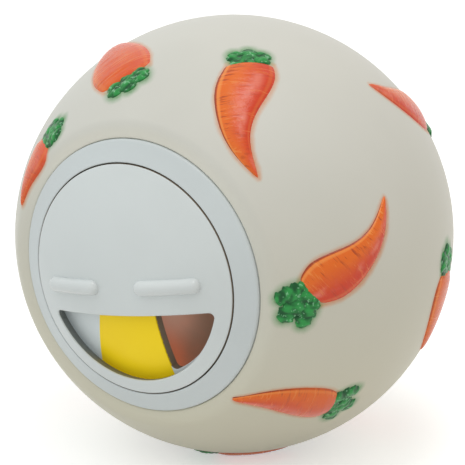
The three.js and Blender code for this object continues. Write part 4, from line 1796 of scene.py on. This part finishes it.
@dataclass(frozen=True)
class Studio:
    """Pale floor, soft light and the photograph's camera."""

    azimuth: float = 33.5
    elevation: float = 17.42
    distance: float = 420.0
    shift_right: float = -0.29
    shift_up: float = 0.196
    lens: float = 203.05
    floor_size: float = 60.0
    floor_glow: float = 0.48
    tent_floor: float = 0.235

    def axes(self) -> tuple[Array, Array, Array]:
        """The camera's unit vectors: right, up and back."""
        back = direction(self.azimuth, self.elevation)
        right = direction(self.azimuth + 90.0, 0.0)
        return right, np.cross(back, right), back

    def camera(self) -> None:
        """Sets the camera: level, looking at the ball's centre with a small offset."""
        right, up, back = self.axes()
        offset = right * self.shift_right + up * self.shift_up
        data = bpy.data.cameras.new("camera")
        data.lens = self.lens
        data.sensor_width = 36.0
        data.clip_start = 0.01
        data.clip_end = 200.0
        camera = placed("camera", data)
        matrix = Matrix(np.column_stack([right, up, back]).tolist()).to_4x4()
        matrix.translation = Vector((BALL_CENTRE + back * self.distance + offset) * MM)
        camera.matrix_world = matrix
        bpy.context.scene.camera = camera

    def _seen(self, graph: Graph) -> Socket:
        """1 for rays from the camera, straight, by a reflection or through glass, else 0."""
        rays = graph.node("ShaderNodeLightPath").outputs
        glossy = graph.maths("MAXIMUM", rays["Is Camera Ray"], rays["Is Glossy Ray"])
        return graph.maths("MAXIMUM", glossy, rays["Is Transmission Ray"])

    def _towards(self, graph: Graph, sky: Socket, way: Array) -> Socket:
        """Cosine of the angle between a direction of the sky and a unit vector.

        Args:
            graph: the nodes to add it to.
            sky: the direction's socket.
            way: the vector.

        Returns:
            The cosine.
        """
        made = graph.node("ShaderNodeVectorMath", operation="DOT_PRODUCT")
        for socket, source in zip(made.inputs, (sky, way)):
            graph.feed(socket, source)
        return made.outputs["Value"]

    def floor(self) -> None:
        """A wide pale floor that shows white but keeps the ball's shadow."""
        material = bpy.data.materials.new("pale_floor")
        graph = Graph.of(material)
        diffuse = graph.fill(graph.node("ShaderNodeBsdfDiffuse"), Color=(0.8, 0.8, 0.8, 1.0))
        glow = graph.node("ShaderNodeEmission")
        graph.fill(glow, Strength=graph.times(self._seen(graph), self.floor_glow))
        both = graph.node("ShaderNodeAddShader")
        for socket, shader in zip(both.inputs, (diffuse, glow)):
            graph.feed(socket, shader.outputs[0])
        graph.fill(graph.node("ShaderNodeOutputMaterial"), Surface=both.outputs[0])
        half = self.floor_size / 2
        mesh = bpy.data.meshes.new("floor")
        mesh.from_pydata(
            [(-half, -half, 0.0), (half, -half, 0.0), (half, half, 0.0), (-half, half, 0.0)],
            [], [(0, 1, 2, 3)],
        )
        mesh.materials.append(material)
        floor = placed("floor", mesh)

    def world(self) -> None:
        """White to the camera; for light, a tent bright overhead, in front and far behind."""
        world = bpy.data.worlds.new("tent")
        bpy.context.scene.world = world
        graph = Graph.of(world)
        right, _, back = self.axes()
        sky = graph.node("ShaderNodeTexCoord").outputs["Generated"]
        tent: Socket | float = self.tent_floor
        # A direction, the cosines where its light starts and is full, and its strength
        for way, low, high, strength in (
            (UP, -0.1, 0.9, 0.34),
            (unit(np.array([-0.1, -0.8, 0.62])), 0.1, 1.0, 0.55),
            (unit(-back * (1.0, 1.0, 0.0)), 0.3, 0.95, 0.5),
        ):
            share = graph.step(self._towards(graph, sky, way), low, high)
            tent = graph.times(share, strength, tent)
        side = graph.step(self._towards(graph, sky, right), -0.8, 0.8)
        tint = graph.blend(side, (0.93, 0.985, 1.0, 1.0), (1.0, 0.955, 0.87, 1.0))
        seen = self._seen(graph)
        background = graph.fill(
            graph.node("ShaderNodeBackground"),
            Color=graph.blend(seen, tint, (1.0, 1.0, 1.0, 1.0)),
            Strength=graph.maths("MAXIMUM", tent, seen),
        )
        graph.fill(graph.node("ShaderNodeOutputWorld"), Surface=background.outputs[0])

    def lamp(self, name: str, spot: Array, size: float, watts: float) -> None:
        """A square soft lamp that faces the ball.

        Args:
            name: the lamp's name.
            spot: its place, in millimetres from the ball's centre.
            size: its side in metres.
            watts: its power.
        """
        data = bpy.data.lights.new(name, "AREA")
        data.shape = "SQUARE"
        data.size = size
        data.energy = watts
        lamp = placed(name, data)
        aim = Vector(-spot * MM).to_track_quat("-Z", "Y").to_matrix().to_4x4()
        lamp.matrix_world = Matrix.Translation(Vector((BALL_CENTRE + spot) * MM)) @ aim

    def build(self) -> None:
        """Sets up the camera, floor, world and lamps."""
        right, _, back = self.axes()
        self.camera()
        self.floor()
        self.world()
        self.lamp("overhead_softbox", UP * 430 + right * 40 + back * 60, 0.16, watts=0.4)
        self.lamp("right_softbox", UP * 40 + right * 420 + back * 60, 0.12, watts=0.1)


def main() -> None:
    """Builds the ball, its carrots, the lid and the studio."""
    logging.basicConfig(level=logging.INFO, format="%(name)s: %(message)s")
    bpy.context.scene.view_settings.view_transform = "Standard"
    finishes = Finishes()
    for kind in (
        BallSkin, CarrotRelief, BezelRing, ShutterPlate, MarkerFilm, TurningDial, Fasteners,
    ):
        kind().build(finishes)
    Studio().build()


if __name__ == "__main__":
    main()
